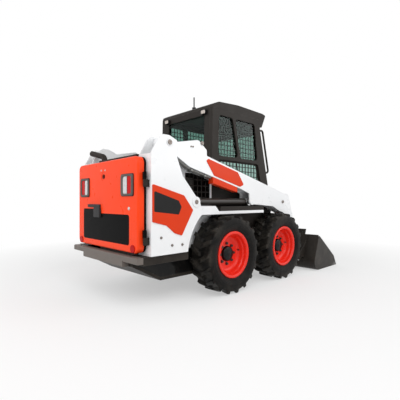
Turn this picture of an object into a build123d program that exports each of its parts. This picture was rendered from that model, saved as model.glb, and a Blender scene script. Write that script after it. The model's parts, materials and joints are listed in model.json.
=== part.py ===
from build123d import *
import math
import os

os.makedirs("parts", exist_ok=True)

# Sheet thickness and clearances in millimetres
sheet = 12
running_gap = 0.3
seat_gap = 0.05
moving_gap = 6
arm_side_gap = 8

# Wheels
wheelbase = 905
tyre_radius = 380
tyre_width = 264
tyre_shoulder_width = 22
tyre_shoulder_drop = 30
tyre_wall_height = 50
tyre_inner_gap = 18
rim_seat_radius = 209.5
rim_seat_half_width = 104
rim_flange_height = 19.5
rim_flange_thickness = 12
rim_wall = 14
rim_disc_offset = 25
hub_radius = 75
hub_cap_length = 46
hub_cap_bevel = 20
spindle_radius = 30
axle_tube_radius = 65
axle_tube_inset = 28
hub_gap = 5

# Tub, belly pan and engine bay
tub_half_width = 433
tub_floor_drop = 180
tub_height = 390
tub_front_overhang = 80
tub_rear_overhang = 100
belly_thickness = 30
belly_flat_inset = 225
rail_overhang = 60
rail_height = 71
rail_front_inset = 26
bay_drop = 43
bay_lug_height = 56
bay_lug_width = 36
screen_length = 335
screen_height = 241
screen_front_inset = 25
screen_drop = 50
screen_bar = 8
screen_pitch = 56

# Lift arm towers and fenders
arm_thickness = 137
tower_rear_x = -925
tower_low_rise = 76
tower_shoulder_rise = 834
tower_crown = 59
tower_crown_length = 67
tower_back_run = 111
tower_back_rise = 23
tower_nose_run = 88
tower_nose_rise = 24
tower_waist_run = 84
tower_waist_drop = 120
tower_knee_run = 150
tower_knee_drop = 276
tower_lap_run = 48
tower_lap_rise = 10
tower_lip_run = 60
tower_boss_run = 5
tower_boss_rise = 55
arch_clearance = 155
fender_clearance = 15
fender_lip = 30
fender_front_inset = 291
fender_plate_rise = 81
fender_bevel = 24
fender_step_rear_x = -151
fender_step_height = 45
fender_step_inset = 24
arm_pivot_inset = 186
arm_pivot_rise = 622
arm_pin_radius = 30
lift_base_run = 308
lift_base_rise = 120
lift_pin_radius = 24
panel_thickness = 6
panel_margin = 10
panel_top_rise = 585
panel_nose_run = 159
panel_nose_rise = 496
panel_tip_run = 266
panel_tip_rise = 366
panel_toe_run = 134
panel_toe_rise = 148
panel_foot_run = 55
panel_foot_rise = 173
panel_heel_run = 32
panel_heel_rise = 242
panel_back_rise = 278
inset_margin = 26
inset_top_rise = 529
inset_nose_run = 99
inset_nose_rise = 450
inset_tip_run = 130
inset_tip_rise = 396
inset_toe_rise = 331
inset_foot_rise = 360

# Rear bumper, tailgate and engine cover
bumper_inset = 20
bumper_low_inset = 63
bumper_drop = 25
bumper_low_height = 45
bumper_high_height = 52
tie_hole_radius = 16
tie_hole_inset = 120
tailgate_depth = 81
tailgate_inset = 62
tailgate_gap = 26
tailgate_height = 789
tailgate_corner = 55
tailgate_skin = 14
tailgate_hinge_run = 26
tailgate_hinge_depth = 29
tail_hinge_radius = 15
tail_hinge_length = 60
tail_hinge_low_inset = 130
tail_hinge_high_inset = 190
lamp_inset = 53
lamp_width = 195
lamp_height = 186
lamp_depth = 40
lamp_drop = 138
lamp_proud = 5
lamp_corner = 18
lens_margin = 14
lens_depth = 10
latch_offset = 17
latch_drop = 139
latch_dish_radius = 42
latch_key_radius = 11
bracket_inner_y = 70
bracket_length = 260
bracket_height = 120
bracket_rise = 273
bracket_bar = 30
bracket_thickness = 5
reflector_radius = 32
reflector_thickness = 6
reflector_inset = 68
reflector_rise = 37
cover_side_gap = 9
cover_rise = 33
cover_drop = 8
cover_rear_reach = 35
cover_front_gap = 38
cover_nose = 30
cover_nose_drop = 8
cover_hinge_inset = 16
cover_hinge_rise = 24
cover_pin_radius = 10
exhaust_inset = 55
exhaust_side_inset = 166
exhaust_radius = 28
exhaust_rise = 45
exhaust_tip_run = 45
exhaust_tip_side = 188
exhaust_tip_rise = 50
exhaust_notch = 62

# Engine, seat and controls
engine_rear_inset = 35
engine_front_gap = 50
engine_side_inset = 113
engine_height = 910
seat_gap_behind = 110
seat_length = 460
seat_side_room = 155
seat_base_height = 210
seat_pad = 120
seat_back_height = 620
seat_back_lean = 30
console_gap = 40
console_rear_inset = 150
console_front_reach = 90
console_height = 150
lever_inset = 20
lever_lean = 30
lever_height = 214
lever_radius = 9
lever_grip_radius = 20
lever_grip_length = 105
seat_bar_radius = 16
seat_bar_bend = 50
seat_bar_rise = 150
seat_bar_side_gap = 60
seat_bar_back = 80
seat_bar_front_inset = 20

# Cab
cab_side_gap = 8
cab_wall = 40
cab_post = 96
cab_front_post = 144
cab_rear_x = -50
cab_rear_lean = 28
cab_height = 1290
cab_crown = 96
cab_toe_height = 210
cab_toe_reach = 54
cab_front_lean = 266
window_drop = 65
window_height = 430
window_corner = 40
window_bar_x = 365
window_bar_lean = 97
grille_height = 260
glass_thickness = 6
door_low_gap = 10
door_high_gap = 110
door_thickness = 35
door_rim = 60
door_hinge_gap = 18
door_hinge_inset = 190
hinge_radius = 12
hinge_length = 60
visor_gap = 28
visor_reach = 62
roof_reach = 140
roof_front_drop = 22
roof_front_run = 60
roof_front_slope = 8
roof_rear_run = 11
roof_rear_rise = 34
roof_shoulder_run = 90
roof_shoulder_rise = 72
handle_radius = 12
handle_bend = 30
handle_reach = 75
handle_low_gap = 442
handle_high_gap = 12
handle_slope = 10
antenna_inset = 130
antenna_foot_radius = 22
antenna_foot_height = 30
antenna_radius = 7
antenna_height = 118
work_lamp_width = 130
work_lamp_height = 80
work_lamp_depth = 50
work_lamp_inset = 90

# Lift arms and their cylinders
arm_wall = 12
arm_wheel_clearance = 30
arm_heel_radius = 55
arm_tail_drop = 52
arm_belly_run = 249
arm_belly_drop = 188
arm_hump_run = 356
arm_hump_rise = 68
arm_hump_front_run = 464
arm_hump_front_drop = 15
arm_back_drop = 68
arm_neck_run = 99
arm_neck_rise = 18
arm_bracket_rear = 45
arm_bracket_rise = 87
arm_bracket_drop = 26
arm_under_run = 200
arm_under_rise = 136
arm_keel_run = 400
arm_keel_drop = 53
arm_toe_run = 65
arm_toe_rise = 404
arm_leg_run = 385
arm_leg_drop = 50
arm_knee_back = 219
arm_knee_rise = 397
arm_brow_back = 122
arm_brow_rise = 390
arm_shin_back = 36
arm_shin_rise = 168
arm_tip_radius = 50
rod_pin_inset = 481
rod_pin_rise = 3
eye_room = 140
eye_room_height = 125
lift_barrel_radius = 36
lift_rod_radius = 20
lift_eye_radius = 42
lift_eye_width = 60
lift_barrel_gap = 22
lift_bore_depth = 92
lift_rod_depth = 102
pin_cap = 5
badge_thickness = 4
badge_corner = 12
badge_rear_run = 456
badge_rear_drop = 114
badge_top_run = 484
badge_top_drop = 94
badge_front_back = 245
badge_front_rise = 303
badge_tip_back = 148
badge_tip_rise = 178
badge_low_back = 207
badge_low_rise = 155
badge_foot_run = 562
badge_foot_drop = 249
prop_rear_run = 549
prop_front_back = 250
prop_rear_height = 62
prop_front_height = 52
prop_width = 60

# Bucket, its attachment frame and the tilt cylinders
bucket_pivot_ahead = 525
bucket_pivot_z = 180
bucket_pin_radius = 25
cross_tube_ahead = 383
cross_tube_rise = 220
cross_tube_radius = 36
tilt_base_back = 158
tilt_base_rise = 20
tilt_ear_half = 34
tilt_ear_drop = 30
tilt_rod_ahead = 53
tilt_rod_rise = 113
tilt_inset = 68
tilt_pin_radius = 18
tilt_barrel_radius = 33
tilt_barrel_start = 44
tilt_barrel_gap = 104
tilt_bore_start = 62
tilt_rod_start = 130
tilt_rod_radius = 18
tilt_eye_radius = 28
tilt_eye_width = 34
tilt_eye_gap = 5
bucket_side_margin = 47
bucket_heel_ahead = 41
bucket_length = 704
bucket_floor_z = 4
bucket_back_slope = 0.381
bucket_heel_radius = 110
bucket_skin = 12
bucket_edge = 60
bucket_guard_z = 524
bucket_top_z = 457
bucket_guard_inset = 202
bucket_cheek_back = 90
bucket_cheek_z = 140
bucket_cheek_tip = 8
tach_thickness = 30
tach_low_z = 165
tach_window_margin = 30
tach_middle_margin = 70
tach_middle_inset = 60
pivot_ear_radius = 42
pivot_ear_height = 190
pivot_ear_margin = 3
rod_ear_margin = 40
rod_ear_back = 42
rod_ear_drop = 20
tach_lever_y = 270
tach_lever_radius = 9
tach_lever_foot_radius = 14
tach_lever_foot_height = 24
tach_lever_height = 110
tach_lever_lean = 30

# Places that follow from the sizes above, x forward from the rear axle, y to the left, z up
axle_z = tyre_radius
rim_flange_radius = rim_seat_radius + rim_flange_height
track_half = tub_half_width + tyre_inner_gap + tyre_width / 2
axle_tube_end = track_half - axle_tube_inset
tub_front_x = wheelbase + tub_front_overhang
tub_rear_x = cab_rear_x - tub_rear_overhang
tub_floor_z = axle_z - tub_floor_drop
tub_top_z = tub_floor_z + tub_height
belly_top_z = tub_floor_z + belly_thickness
belly_bend_x = tower_rear_x + belly_flat_inset
rail_end_x = tower_rear_x - rail_overhang
rear_overhang = 2 * rail_overhang - tower_rear_x
arm_inner_y = tub_half_width + sheet + arm_side_gap
arm_outer_y = arm_inner_y + arm_thickness
arm_mid_y = (arm_inner_y + arm_outer_y) / 2
tower_outer_y = arm_outer_y + arm_side_gap + sheet
tower_low_z = axle_z + tower_low_rise
tower_shoulder_z = tower_low_z + tower_shoulder_rise
fender_low_z = axle_z + tyre_radius + fender_clearance
fender_top_z = fender_low_z + fender_lip
fender_front_x = wheelbase - fender_front_inset
arch_radius = tyre_radius + arch_clearance
arm_pivot_x = tower_rear_x + arm_pivot_inset
arm_pivot_z = fender_low_z + arm_pivot_rise
lift_base_x = arm_pivot_x + lift_base_run
lift_base_z = fender_low_z + lift_base_rise
rod_pin_x = wheelbase - rod_pin_inset
rod_pin_z = lift_base_z + rod_pin_rise
bumper_half_width = tower_outer_y - bumper_inset
bumper_low_half_width = tub_half_width - bumper_low_inset
bumper_low_z = axle_z - bumper_drop
bumper_mid_z = bumper_low_z + bumper_low_height
bumper_high_z = bumper_mid_z + bumper_high_height
tailgate_half_width = tower_outer_y - tailgate_inset
tailgate_front_x = tower_rear_x - moving_gap
tailgate_rear_x = tailgate_front_x - tailgate_depth
tailgate_low_z = bumper_high_z + tailgate_gap
tailgate_high_z = tailgate_low_z + tailgate_height
bay_top_z = tailgate_high_z - bay_drop
screen_front_x = cab_rear_x - screen_front_inset
screen_rear_x = screen_front_x - screen_length
screen_high_z = bay_top_z - screen_drop
screen_low_z = screen_high_z - screen_height
cover_half_width = tub_half_width - sheet - cover_side_gap
cover_top_z = tailgate_high_z + cover_rise
cover_low_z = bay_top_z + cover_drop
cover_rear_x = tower_rear_x - cover_rear_reach
cover_front_x = cab_rear_x - cover_front_gap
cover_hinge_x = cover_front_x - cover_hinge_inset
cover_hinge_z = cover_low_z + cover_hinge_rise
exhaust_x = tower_rear_x + exhaust_inset
exhaust_y = tub_half_width - exhaust_side_inset
engine_rear_x = tower_rear_x + engine_rear_inset
engine_front_x = tub_rear_x - engine_front_gap
engine_half_width = tub_half_width - engine_side_inset
engine_high_z = belly_top_z + engine_height
cab_half_width = tub_half_width - cab_side_gap
cab_inner_y = cab_half_width - cab_wall
cab_roof_z = tub_top_z + cab_height
cab_crown_z = cab_roof_z + cab_crown
cab_toe_z = tub_top_z + cab_toe_height
cab_toe_x = tub_front_x + cab_toe_reach
cab_front_top_x = cab_toe_x - cab_front_lean
window_high_z = cab_roof_z - window_drop
window_low_z = window_high_z - window_height
grille_high_z = window_low_z - cab_wall
grille_low_z = grille_high_z - grille_height
door_half_width = cab_inner_y
door_low_z = cab_toe_z + door_low_gap
door_high_z = cab_roof_z - door_high_gap
door_hinge_y = door_half_width + door_hinge_gap
visor_low_z = door_high_z + visor_gap
visor_low_x = cab_front_top_x + visor_reach
roof_front_x = cab_front_top_x + roof_reach
roof_front_z = cab_crown_z - roof_front_drop
seat_rear_x = cab_rear_x + seat_gap_behind
seat_front_x = seat_rear_x + seat_length
seat_half_width = cab_inner_y - seat_side_room
seat_low_z = tub_top_z + seat_base_height
seat_back_z = seat_low_z + seat_back_height
arm_wheel_radius = tyre_radius + arm_wheel_clearance
cross_tube_x = wheelbase + cross_tube_ahead
cross_tube_z = axle_z + cross_tube_rise
tilt_base_x = cross_tube_x - tilt_base_back
tilt_base_z = cross_tube_z + tilt_base_rise
tilt_y = arm_inner_y - tilt_inset
bucket_pivot_x = wheelbase + bucket_pivot_ahead
tilt_rod_x = bucket_pivot_x + tilt_rod_ahead
tilt_rod_z = bucket_pivot_z + tilt_rod_rise
bucket_half_width = track_half + tyre_width / 2 + bucket_side_margin
bucket_heel_x = bucket_pivot_x + bucket_heel_ahead
bucket_reach = bucket_heel_x + bucket_length
bucket_guard_half_width = bucket_half_width - bucket_guard_inset
bucket_cheek_x = bucket_reach - bucket_cheek_back
tach_half_width = arm_outer_y + moving_gap + sheet
rear_axle_x = rear_overhang - (rear_overhang + bucket_reach) / 2


# Helpers that turn a side outline into a plate and name the exported pieces
def plate(points, y_low, y_high, radii=0):
    outline = FilletPolyline(*points, radius=radii, close=True)
    face = Plane.XZ * make_face(outline)
    return Pos(0, y_high, 0) * extrude(face, y_high - y_low)


def block(x_low, x_high, y_low, y_high, z_low, z_high):
    middle = Pos((x_low + x_high) / 2, (y_low + y_high) / 2, (z_low + z_high) / 2)
    return middle * Box(x_high - x_low, y_high - y_low, z_high - z_low)


def cross_pin(x, z, radius, y_low, y_high):
    return Pos(x, (y_low + y_high) / 2, z) * Rot(90, 0, 0) * Cylinder(radius, y_high - y_low)


def side_bar(start, end, y, radius):
    turn = math.degrees(math.atan2(end[0] - start[0], end[1] - start[1]))
    middle = Pos((start[0] + end[0]) / 2, y, (start[1] + end[1]) / 2)
    return middle * Rot(0, turn, 0) * Cylinder(radius, math.dist(start, end))


def post(x, y, z_low, z_high, radius):
    return Pos(x, y, (z_low + z_high) / 2) * Cylinder(radius, z_high - z_low)


def along(start, end, distance):
    share = distance / math.dist(start, end)
    return (start[0] + share * (end[0] - start[0]), start[1] + share * (end[1] - start[1]))


def other_side(shape):
    return mirror(shape, about=Plane.XZ)


def tube(points, radius, bend):
    path = FilletPolyline(*points, radius=bend)
    section = Plane(origin=path @ 0, z_dir=path % 0) * Circle(radius)
    return sweep(section, path=path)


def mesh_holes(x_low, x_high, y, z_low, z_high):
    columns = round((x_high - x_low) / screen_pitch)
    rows = round((z_high - z_low) / screen_pitch)
    column_pitch = (x_high - x_low) / columns
    row_pitch = (z_high - z_low) / rows
    hole = Box(column_pitch - screen_bar, 4 * screen_bar, row_pitch - screen_bar)
    middle = Plane(origin=((x_low + x_high) / 2, y, (z_low + z_high) / 2), x_dir=(1, 0, 0), z_dir=(0, -1, 0))
    places = middle * GridLocations(column_pitch, row_pitch, columns, rows)
    return [Pos(*place.position) * hole for place in places]


def save(name, *shapes):
    solids = [solid for shape in shapes for solid in shape.solids()]
    export_step(Pos(rear_axle_x, 0, 0) * Compound(solids), f"parts/{name}.step")


# Tub under the cab, belly pan and the side walls of the engine bay
tub_outline = [
    (tub_rear_x, tub_floor_z),
    (wheelbase, tub_floor_z),
    (tub_front_x, tub_floor_z + tub_front_overhang),
    (tub_front_x, tub_top_z),
    (tub_rear_x, tub_top_z),
]
save("tub", plate(tub_outline, -tub_half_width, tub_half_width))

belly_outline = [
    (tub_rear_x, tub_floor_z),
    (belly_bend_x, tub_floor_z),
    (rail_end_x, bumper_low_z),
    (rail_end_x, bumper_low_z + belly_thickness),
    (belly_bend_x, belly_top_z),
    (tub_rear_x, belly_top_z),
]
save("belly_pan", plate(belly_outline, -tub_half_width, tub_half_width))

bay_rear_x = tower_rear_x + sheet
bay_front_x = cab_rear_x - seat_gap
bay_lug_x = cover_hinge_x - bay_lug_width
bay_lug_z = bay_top_z + bay_lug_height
bay_outline = [
    (bay_front_x, tub_top_z),
    (tub_rear_x, tub_top_z),
    (tub_rear_x, belly_top_z),
    (belly_bend_x, belly_top_z),
    (rail_end_x, bumper_low_z + belly_thickness),
    (rail_end_x, tower_low_z),
    (bay_rear_x, tower_low_z),
    (bay_rear_x, bay_top_z),
    (bay_lug_x, bay_top_z),
    (bay_lug_x, bay_lug_z),
    (bay_front_x, bay_lug_z),
]
screen_y = tub_half_width - sheet
bay_side = plate(bay_outline, screen_y, tub_half_width)
bay_side = bay_side - block(screen_rear_x, screen_front_x, 0, tub_half_width, screen_low_z, screen_high_z)
bay_side = bay_side + cross_pin(cover_hinge_x, cover_hinge_z, cover_pin_radius, cover_half_width - sheet, screen_y)
save("bay_sides", bay_side, other_side(bay_side))

screen = block(screen_rear_x, screen_front_x, screen_y, screen_y + screen_bar, screen_low_z, screen_high_z)
screen = screen - mesh_holes(screen_rear_x, screen_front_x, screen_y, screen_low_z, screen_high_z)
save("side_screens", screen, other_side(screen))

rail_front_x = rail_front_inset - arch_radius
rail_low_z = tower_low_z - rail_height
rail = block(rail_end_x, rail_front_x, tub_half_width, bumper_half_width, rail_low_z, tower_low_z)
save("rear_rails", rail, other_side(rail))

bumper = block(-rear_overhang, rail_end_x, -bumper_half_width, bumper_half_width, bumper_mid_z, bumper_high_z)
bumper_low = block(-rear_overhang, rail_end_x, -bumper_low_half_width, bumper_low_half_width, bumper_low_z, bumper_mid_z)
bumper = bumper + bumper_low
bumper = fillet(bumper.edges().filter_by(Axis.Y).group_by(Axis.X)[0], sheet)
tie_hole_x = (rail_end_x - rear_overhang) / 2
tie_hole = post(tie_hole_x, bumper_half_width - tie_hole_inset, bumper_low_z, tower_low_z, tie_hole_radius)
save("rear_bumper", bumper - tie_hole - other_side(tie_hole))

# Axle tubes with the spindles the wheels turn on
axle_parts = []
for axle_x in (0, wheelbase):
    axle = cross_pin(axle_x, axle_z, axle_tube_radius, tub_half_width, axle_tube_end)
    axle = axle + cross_pin(axle_x, axle_z, spindle_radius, axle_tube_end, track_half + rim_disc_offset / 2)
    axle_parts += [axle, other_side(axle)]
save("axle_tubes", *axle_parts)

# Towers that carry the lift arms, with the fenders over the rear wheels
arch_x = -math.sqrt(arch_radius**2 - (fender_low_z - axle_z) ** 2)
fender_plate_z = fender_low_z + fender_plate_rise
tower_top_z = arm_pivot_z + tower_crown
tower_outline = [
    (tower_rear_x, tower_low_z),
    (arch_x, tower_low_z),
    (arch_x, fender_low_z),
    (fender_front_x, fender_low_z),
    (fender_front_x, fender_top_z),
    (fender_step_rear_x + fender_bevel, fender_top_z),
    (fender_step_rear_x - fender_bevel, fender_plate_z),
    (lift_base_x + tower_lip_run, fender_plate_z),
    (lift_base_x + tower_lap_run, lift_base_z + tower_lap_rise),
    (lift_base_x - tower_boss_run, lift_base_z + tower_boss_rise),
    (arm_pivot_x + tower_knee_run, arm_pivot_z - tower_knee_drop),
    (arm_pivot_x + tower_waist_run, arm_pivot_z - tower_waist_drop),
    (arm_pivot_x + tower_nose_run, arm_pivot_z + tower_nose_rise),
    (arm_pivot_x, tower_top_z),
    (arm_pivot_x - tower_crown_length, tower_top_z),
    (arm_pivot_x - tower_back_run, arm_pivot_z + tower_back_rise),
    (tower_rear_x, tower_shoulder_z),
]
small_round = sheet
plain_round = 2 * sheet
wide_round = 4 * sheet
tower_low_rounds = [0, 0, 0, small_round, small_round, small_round, small_round]
tower_high_rounds = [small_round, plain_round, plain_round, wide_round, wide_round]
tower_crown_rounds = [plain_round, plain_round, plain_round, plain_round, wide_round]
tower_rounds = tower_low_rounds + tower_high_rounds + tower_crown_rounds
arch = cross_pin(0, axle_z, arch_radius, 0, tower_outer_y)
arch_side = block(tower_rear_x, arch_x, 0, tower_outer_y, 0, fender_low_z)
arch = arch & arch_side
tower = plate(tower_outline, tub_half_width, tub_half_width + sheet, tower_rounds)
tower = tower + plate(tower_outline, tower_outer_y - sheet, tower_outer_y, tower_rounds)
tower = tower - arch
tower = tower + block(tower_rear_x, bay_rear_x, tub_half_width, tower_outer_y, tower_low_z, tower_shoulder_z)
arch_web = cross_pin(0, axle_z, arch_radius + sheet, tub_half_width, tower_outer_y)
arch_web = arch_web & block(tower_rear_x, arch_x, 0, tower_outer_y, tower_low_z, fender_low_z)
tower = tower + (arch_web - arch)
tower = tower + block(arch_x - sheet, fender_front_x, tub_half_width, tower_outer_y, fender_low_z, fender_low_z + sheet)
pin_end_y = tower_outer_y + moving_gap
tower = tower + cross_pin(arm_pivot_x, arm_pivot_z, arm_pin_radius, tub_half_width, pin_end_y)
tower = tower + cross_pin(lift_base_x, lift_base_z, 2 * lift_pin_radius, tower_outer_y - sheet, tower_outer_y + pin_cap)
tower = tower + cross_pin(lift_base_x, lift_base_z, lift_pin_radius, tub_half_width, pin_end_y)
save("towers", tower, other_side(tower))

step_rear_x = fender_step_rear_x + fender_bevel + fender_step_inset
step_top_z = fender_top_z + fender_step_height
step = block(step_rear_x, fender_front_x, arm_inner_y, tower_outer_y, fender_top_z, step_top_z)
step_inside_y = tower_outer_y - sheet
step = step + block(step_rear_x, fender_front_x, arm_inner_y, step_inside_y, fender_low_z + sheet, fender_top_z)
save("fender_steps", step, other_side(step))

panel_outline = [
    (tower_rear_x + panel_margin, tower_low_z + panel_top_rise),
    (arm_pivot_x + panel_nose_run, tower_low_z + panel_nose_rise),
    (arm_pivot_x + panel_tip_run, tower_low_z + panel_tip_rise),
    (arm_pivot_x + panel_toe_run, tower_low_z + panel_toe_rise),
    (arm_pivot_x + panel_foot_run, tower_low_z + panel_foot_rise),
    (arm_pivot_x - panel_heel_run, tower_low_z + panel_heel_rise),
    (tower_rear_x + panel_margin, tower_low_z + panel_back_rise),
]
inset_outline = [
    (tower_rear_x + inset_margin, tower_low_z + inset_top_rise),
    (arm_pivot_x + inset_nose_run, tower_low_z + inset_nose_rise),
    (arm_pivot_x + inset_tip_run, tower_low_z + inset_tip_rise),
    (arm_pivot_x + inset_nose_run, tower_low_z + inset_toe_rise),
    (tower_rear_x + inset_margin, tower_low_z + inset_foot_rise),
]
panel_face_y = tower_outer_y + panel_thickness
panel = plate(panel_outline, tower_outer_y, panel_face_y, small_round)
inset = plate(inset_outline, panel_face_y - panel_thickness / 2, panel_face_y, small_round)
panel = panel - inset
save("side_panels", panel, other_side(panel))
save("panel_insets", inset, other_side(inset))

# Engine and exhaust
belly_rise = (bumper_low_z - tub_floor_z) / (belly_bend_x - rail_end_x)
engine_outline = [
    (engine_front_x, belly_top_z),
    (belly_bend_x, belly_top_z),
    (engine_rear_x, belly_top_z + belly_rise * (belly_bend_x - engine_rear_x)),
    (engine_rear_x, engine_high_z),
    (engine_front_x, engine_high_z),
]
save("engine", plate(engine_outline, -engine_half_width, engine_half_width))
exhaust_bend_z = cover_top_z + exhaust_rise
exhaust_path = [
    (exhaust_x, exhaust_y, engine_high_z),
    (exhaust_x, exhaust_y, exhaust_bend_z),
    (exhaust_x - exhaust_tip_run, exhaust_y + exhaust_tip_side, exhaust_bend_z + exhaust_tip_rise),
]
save("exhaust", tube(exhaust_path, exhaust_radius, 1.6 * exhaust_radius))


# Cab shell from its real panels
def front_x(z):
    return cab_toe_x - cab_front_lean * (z - cab_toe_z) / (cab_roof_z - cab_toe_z)


def rear_x(z):
    return cab_rear_x + cab_rear_lean * (z - tub_top_z) / cab_height


cab_side_outline = [
    (cab_rear_x, tub_top_z),
    (tub_front_x, tub_top_z),
    (cab_toe_x, cab_toe_z),
    (cab_front_top_x, cab_roof_z),
    (rear_x(cab_roof_z), cab_roof_z),
]
window_bar_top_x = cab_rear_x + window_bar_x
window_bar_low_x = window_bar_top_x + window_bar_lean
rear_window = [
    (rear_x(window_low_z) + cab_post, window_low_z),
    (window_bar_low_x - cab_wall / 2, window_low_z),
    (window_bar_top_x - cab_wall / 2, window_high_z),
    (rear_x(window_high_z) + cab_post, window_high_z),
]
front_window = [
    (window_bar_low_x + cab_wall / 2, window_low_z),
    (front_x(window_low_z) - cab_front_post, window_low_z),
    (front_x(window_high_z) - cab_post, window_high_z),
    (window_bar_top_x + cab_wall / 2, window_high_z),
]
low_window = [
    (rear_x(grille_low_z) + cab_post, grille_low_z),
    (front_x(grille_low_z) - cab_front_post, grille_low_z),
    (front_x(grille_high_z) - cab_front_post, grille_high_z),
    (rear_x(grille_high_z) + cab_post, grille_high_z),
]
cab_side = plate(cab_side_outline, cab_inner_y, cab_half_width)
for window in (rear_window, front_window, low_window):
    cab_side = cab_side - plate(window, 0, 2 * cab_half_width, window_corner)
save("cab_sides", cab_side, other_side(cab_side))

grille_y = cab_inner_y + screen_bar
grille_rim = 2 * screen_bar
grille_inner = [
    (low_window[0][0] + grille_rim, grille_low_z + grille_rim),
    (low_window[1][0] - grille_rim, grille_low_z + grille_rim),
    (low_window[2][0] - grille_rim, grille_high_z - grille_rim),
    (low_window[3][0] + grille_rim, grille_high_z - grille_rim),
]
grille_inside = plate(grille_inner, 0, cab_half_width, window_corner - grille_rim)
grille_cuts = mesh_holes(low_window[0][0], low_window[1][0], grille_y, grille_low_z, grille_high_z)
grille_cuts = [grille_inside & cut for cut in grille_cuts]
grille = plate(low_window, grille_y, grille_y + screen_bar, window_corner)
grille = grille - [cut for cut in grille_cuts if cut is not None and cut.volume > 0]
save("cab_grilles", grille, other_side(grille))

rear_wall_outline = [
    (cab_rear_x, tub_top_z),
    (cab_rear_x + cab_wall, tub_top_z),
    (rear_x(cab_roof_z) + cab_wall, cab_roof_z),
    (rear_x(cab_roof_z), cab_roof_z),
]
rear_pane_half = cab_inner_y - 2 * cab_wall
rear_pane_low_z = window_low_z - cab_wall
rear_opening = block(cab_rear_x - cab_wall, seat_front_x, -rear_pane_half, rear_pane_half, rear_pane_low_z, window_high_z)
save("cab_rear_wall", plate(rear_wall_outline, -cab_inner_y, cab_inner_y) - rear_opening)
pane_inset = (cab_wall - glass_thickness) / 2
rear_pane_outline = [
    (rear_x(rear_pane_low_z) + pane_inset, rear_pane_low_z),
    (rear_x(rear_pane_low_z) + pane_inset + glass_thickness, rear_pane_low_z),
    (rear_x(window_high_z) + pane_inset + glass_thickness, window_high_z),
    (rear_x(window_high_z) + pane_inset, window_high_z),
]
rear_pane = plate(rear_pane_outline, -rear_pane_half, rear_pane_half)
pane_y = cab_half_width - pane_inset
side_panes = [plate(window, pane_y - glass_thickness, pane_y, window_corner) for window in (rear_window, front_window)]
save("cab_glass", *side_panes, *[other_side(pane) for pane in side_panes], rear_pane)

roof_outline = [
    (rear_x(cab_roof_z), cab_roof_z),
    (rear_x(cab_roof_z) + roof_rear_run, cab_roof_z + roof_rear_rise),
    (rear_x(cab_roof_z) + roof_shoulder_run, cab_roof_z + roof_shoulder_rise),
    (cab_front_top_x / 2, cab_crown_z),
    (roof_front_x - roof_front_run, cab_crown_z - roof_front_slope),
    (roof_front_x, roof_front_z),
    (visor_low_x, visor_low_z),
    (front_x(visor_low_z) + seat_gap, visor_low_z),
    (cab_front_top_x, cab_roof_z),
]
roof_round = 10 * sheet
roof_rounds = [0, small_round, roof_round, 3 * roof_round, wide_round, small_round, sheet / 2, 0, 0]
roof = plate(roof_outline, -cab_half_width, cab_half_width, roof_rounds)
save("cab_roof", roof)

front_outline = [
    (tub_front_x - cab_wall, tub_top_z),
    (tub_front_x, tub_top_z),
    (cab_toe_x, cab_toe_z),
    (cab_front_top_x, cab_roof_z),
    (cab_front_top_x - cab_wall, cab_roof_z),
    (cab_toe_x - cab_wall, cab_toe_z),
]
doorway_half = cab_inner_y - cab_wall
doorway = block(0, bucket_reach, -doorway_half, doorway_half, door_low_z + cab_wall, door_high_z - cab_wall)
save("cab_front_frame", plate(front_outline, -cab_inner_y, cab_inner_y) - doorway)

floor_front_x = tub_front_x - cab_wall
floor_outline = [
    (cab_rear_x + cab_wall, tub_top_z),
    (floor_front_x, tub_top_z),
    (floor_front_x, tub_top_z + sheet),
    (seat_front_x, tub_top_z + sheet),
    (seat_front_x, seat_low_z),
    (rear_x(seat_low_z) + cab_wall, seat_low_z),
]
save("cab_floor", plate(floor_outline, -cab_inner_y, cab_inner_y))

# Seat, consoles with levers, seat bar
seat_outline = [
    (seat_rear_x, seat_low_z),
    (seat_front_x, seat_low_z),
    (seat_front_x, seat_low_z + seat_pad),
    (seat_rear_x + seat_pad, seat_low_z + seat_pad),
    (seat_rear_x + seat_pad - seat_back_lean, seat_back_z),
    (seat_rear_x - seat_back_lean, seat_back_z),
]
seat_rounds = [small_round, small_round, wide_round, wide_round, wide_round, plain_round]
save("seat", plate(seat_outline, -seat_half_width, seat_half_width, seat_rounds))

console_inner_y = seat_half_width + console_gap
console_front_x = seat_front_x + console_front_reach
console_top_z = seat_low_z + console_height
console = block(seat_rear_x + console_rear_inset, console_front_x, console_inner_y, cab_inner_y, seat_low_z, console_top_z)
console = fillet(console.edges().filter_by(Axis.Y).group_by(Axis.Z)[-1], console_gap)
console = console + block(seat_front_x, console_front_x, console_inner_y, cab_inner_y, tub_top_z + sheet, seat_low_z)
lever_foot = (seat_front_x + lever_inset, console_top_z - lever_radius)
lever_head = (lever_foot[0] + lever_lean, lever_foot[1] + lever_height)
lever_y = (console_inner_y + cab_inner_y) / 2
grip_start = along(lever_head, lever_foot, lever_grip_length)
console = console + side_bar(lever_foot, lever_head, lever_y, lever_radius)
console = console + side_bar(grip_start, lever_head, lever_y, lever_grip_radius)
save("consoles", console, other_side(console))

bar_low_z = seat_low_z + seat_pad + seat_bar_rise
bar_pivot_z = (grille_high_z + window_low_z) / 2
bar_side_y = seat_half_width + seat_bar_side_gap
bar_pivot_x = seat_rear_x + seat_bar_back
bar_front_x = seat_front_x - seat_bar_front_inset
seat_bar_path = [
    (bar_pivot_x, -cab_inner_y, bar_pivot_z),
    (bar_pivot_x, -bar_side_y, bar_pivot_z),
    (bar_front_x, -bar_side_y, bar_low_z),
    (bar_front_x, bar_side_y, bar_low_z),
    (bar_pivot_x, bar_side_y, bar_pivot_z),
    (bar_pivot_x, cab_inner_y, bar_pivot_z),
]
save("seat_bar", tube(seat_bar_path, seat_bar_radius, seat_bar_bend))

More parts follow.
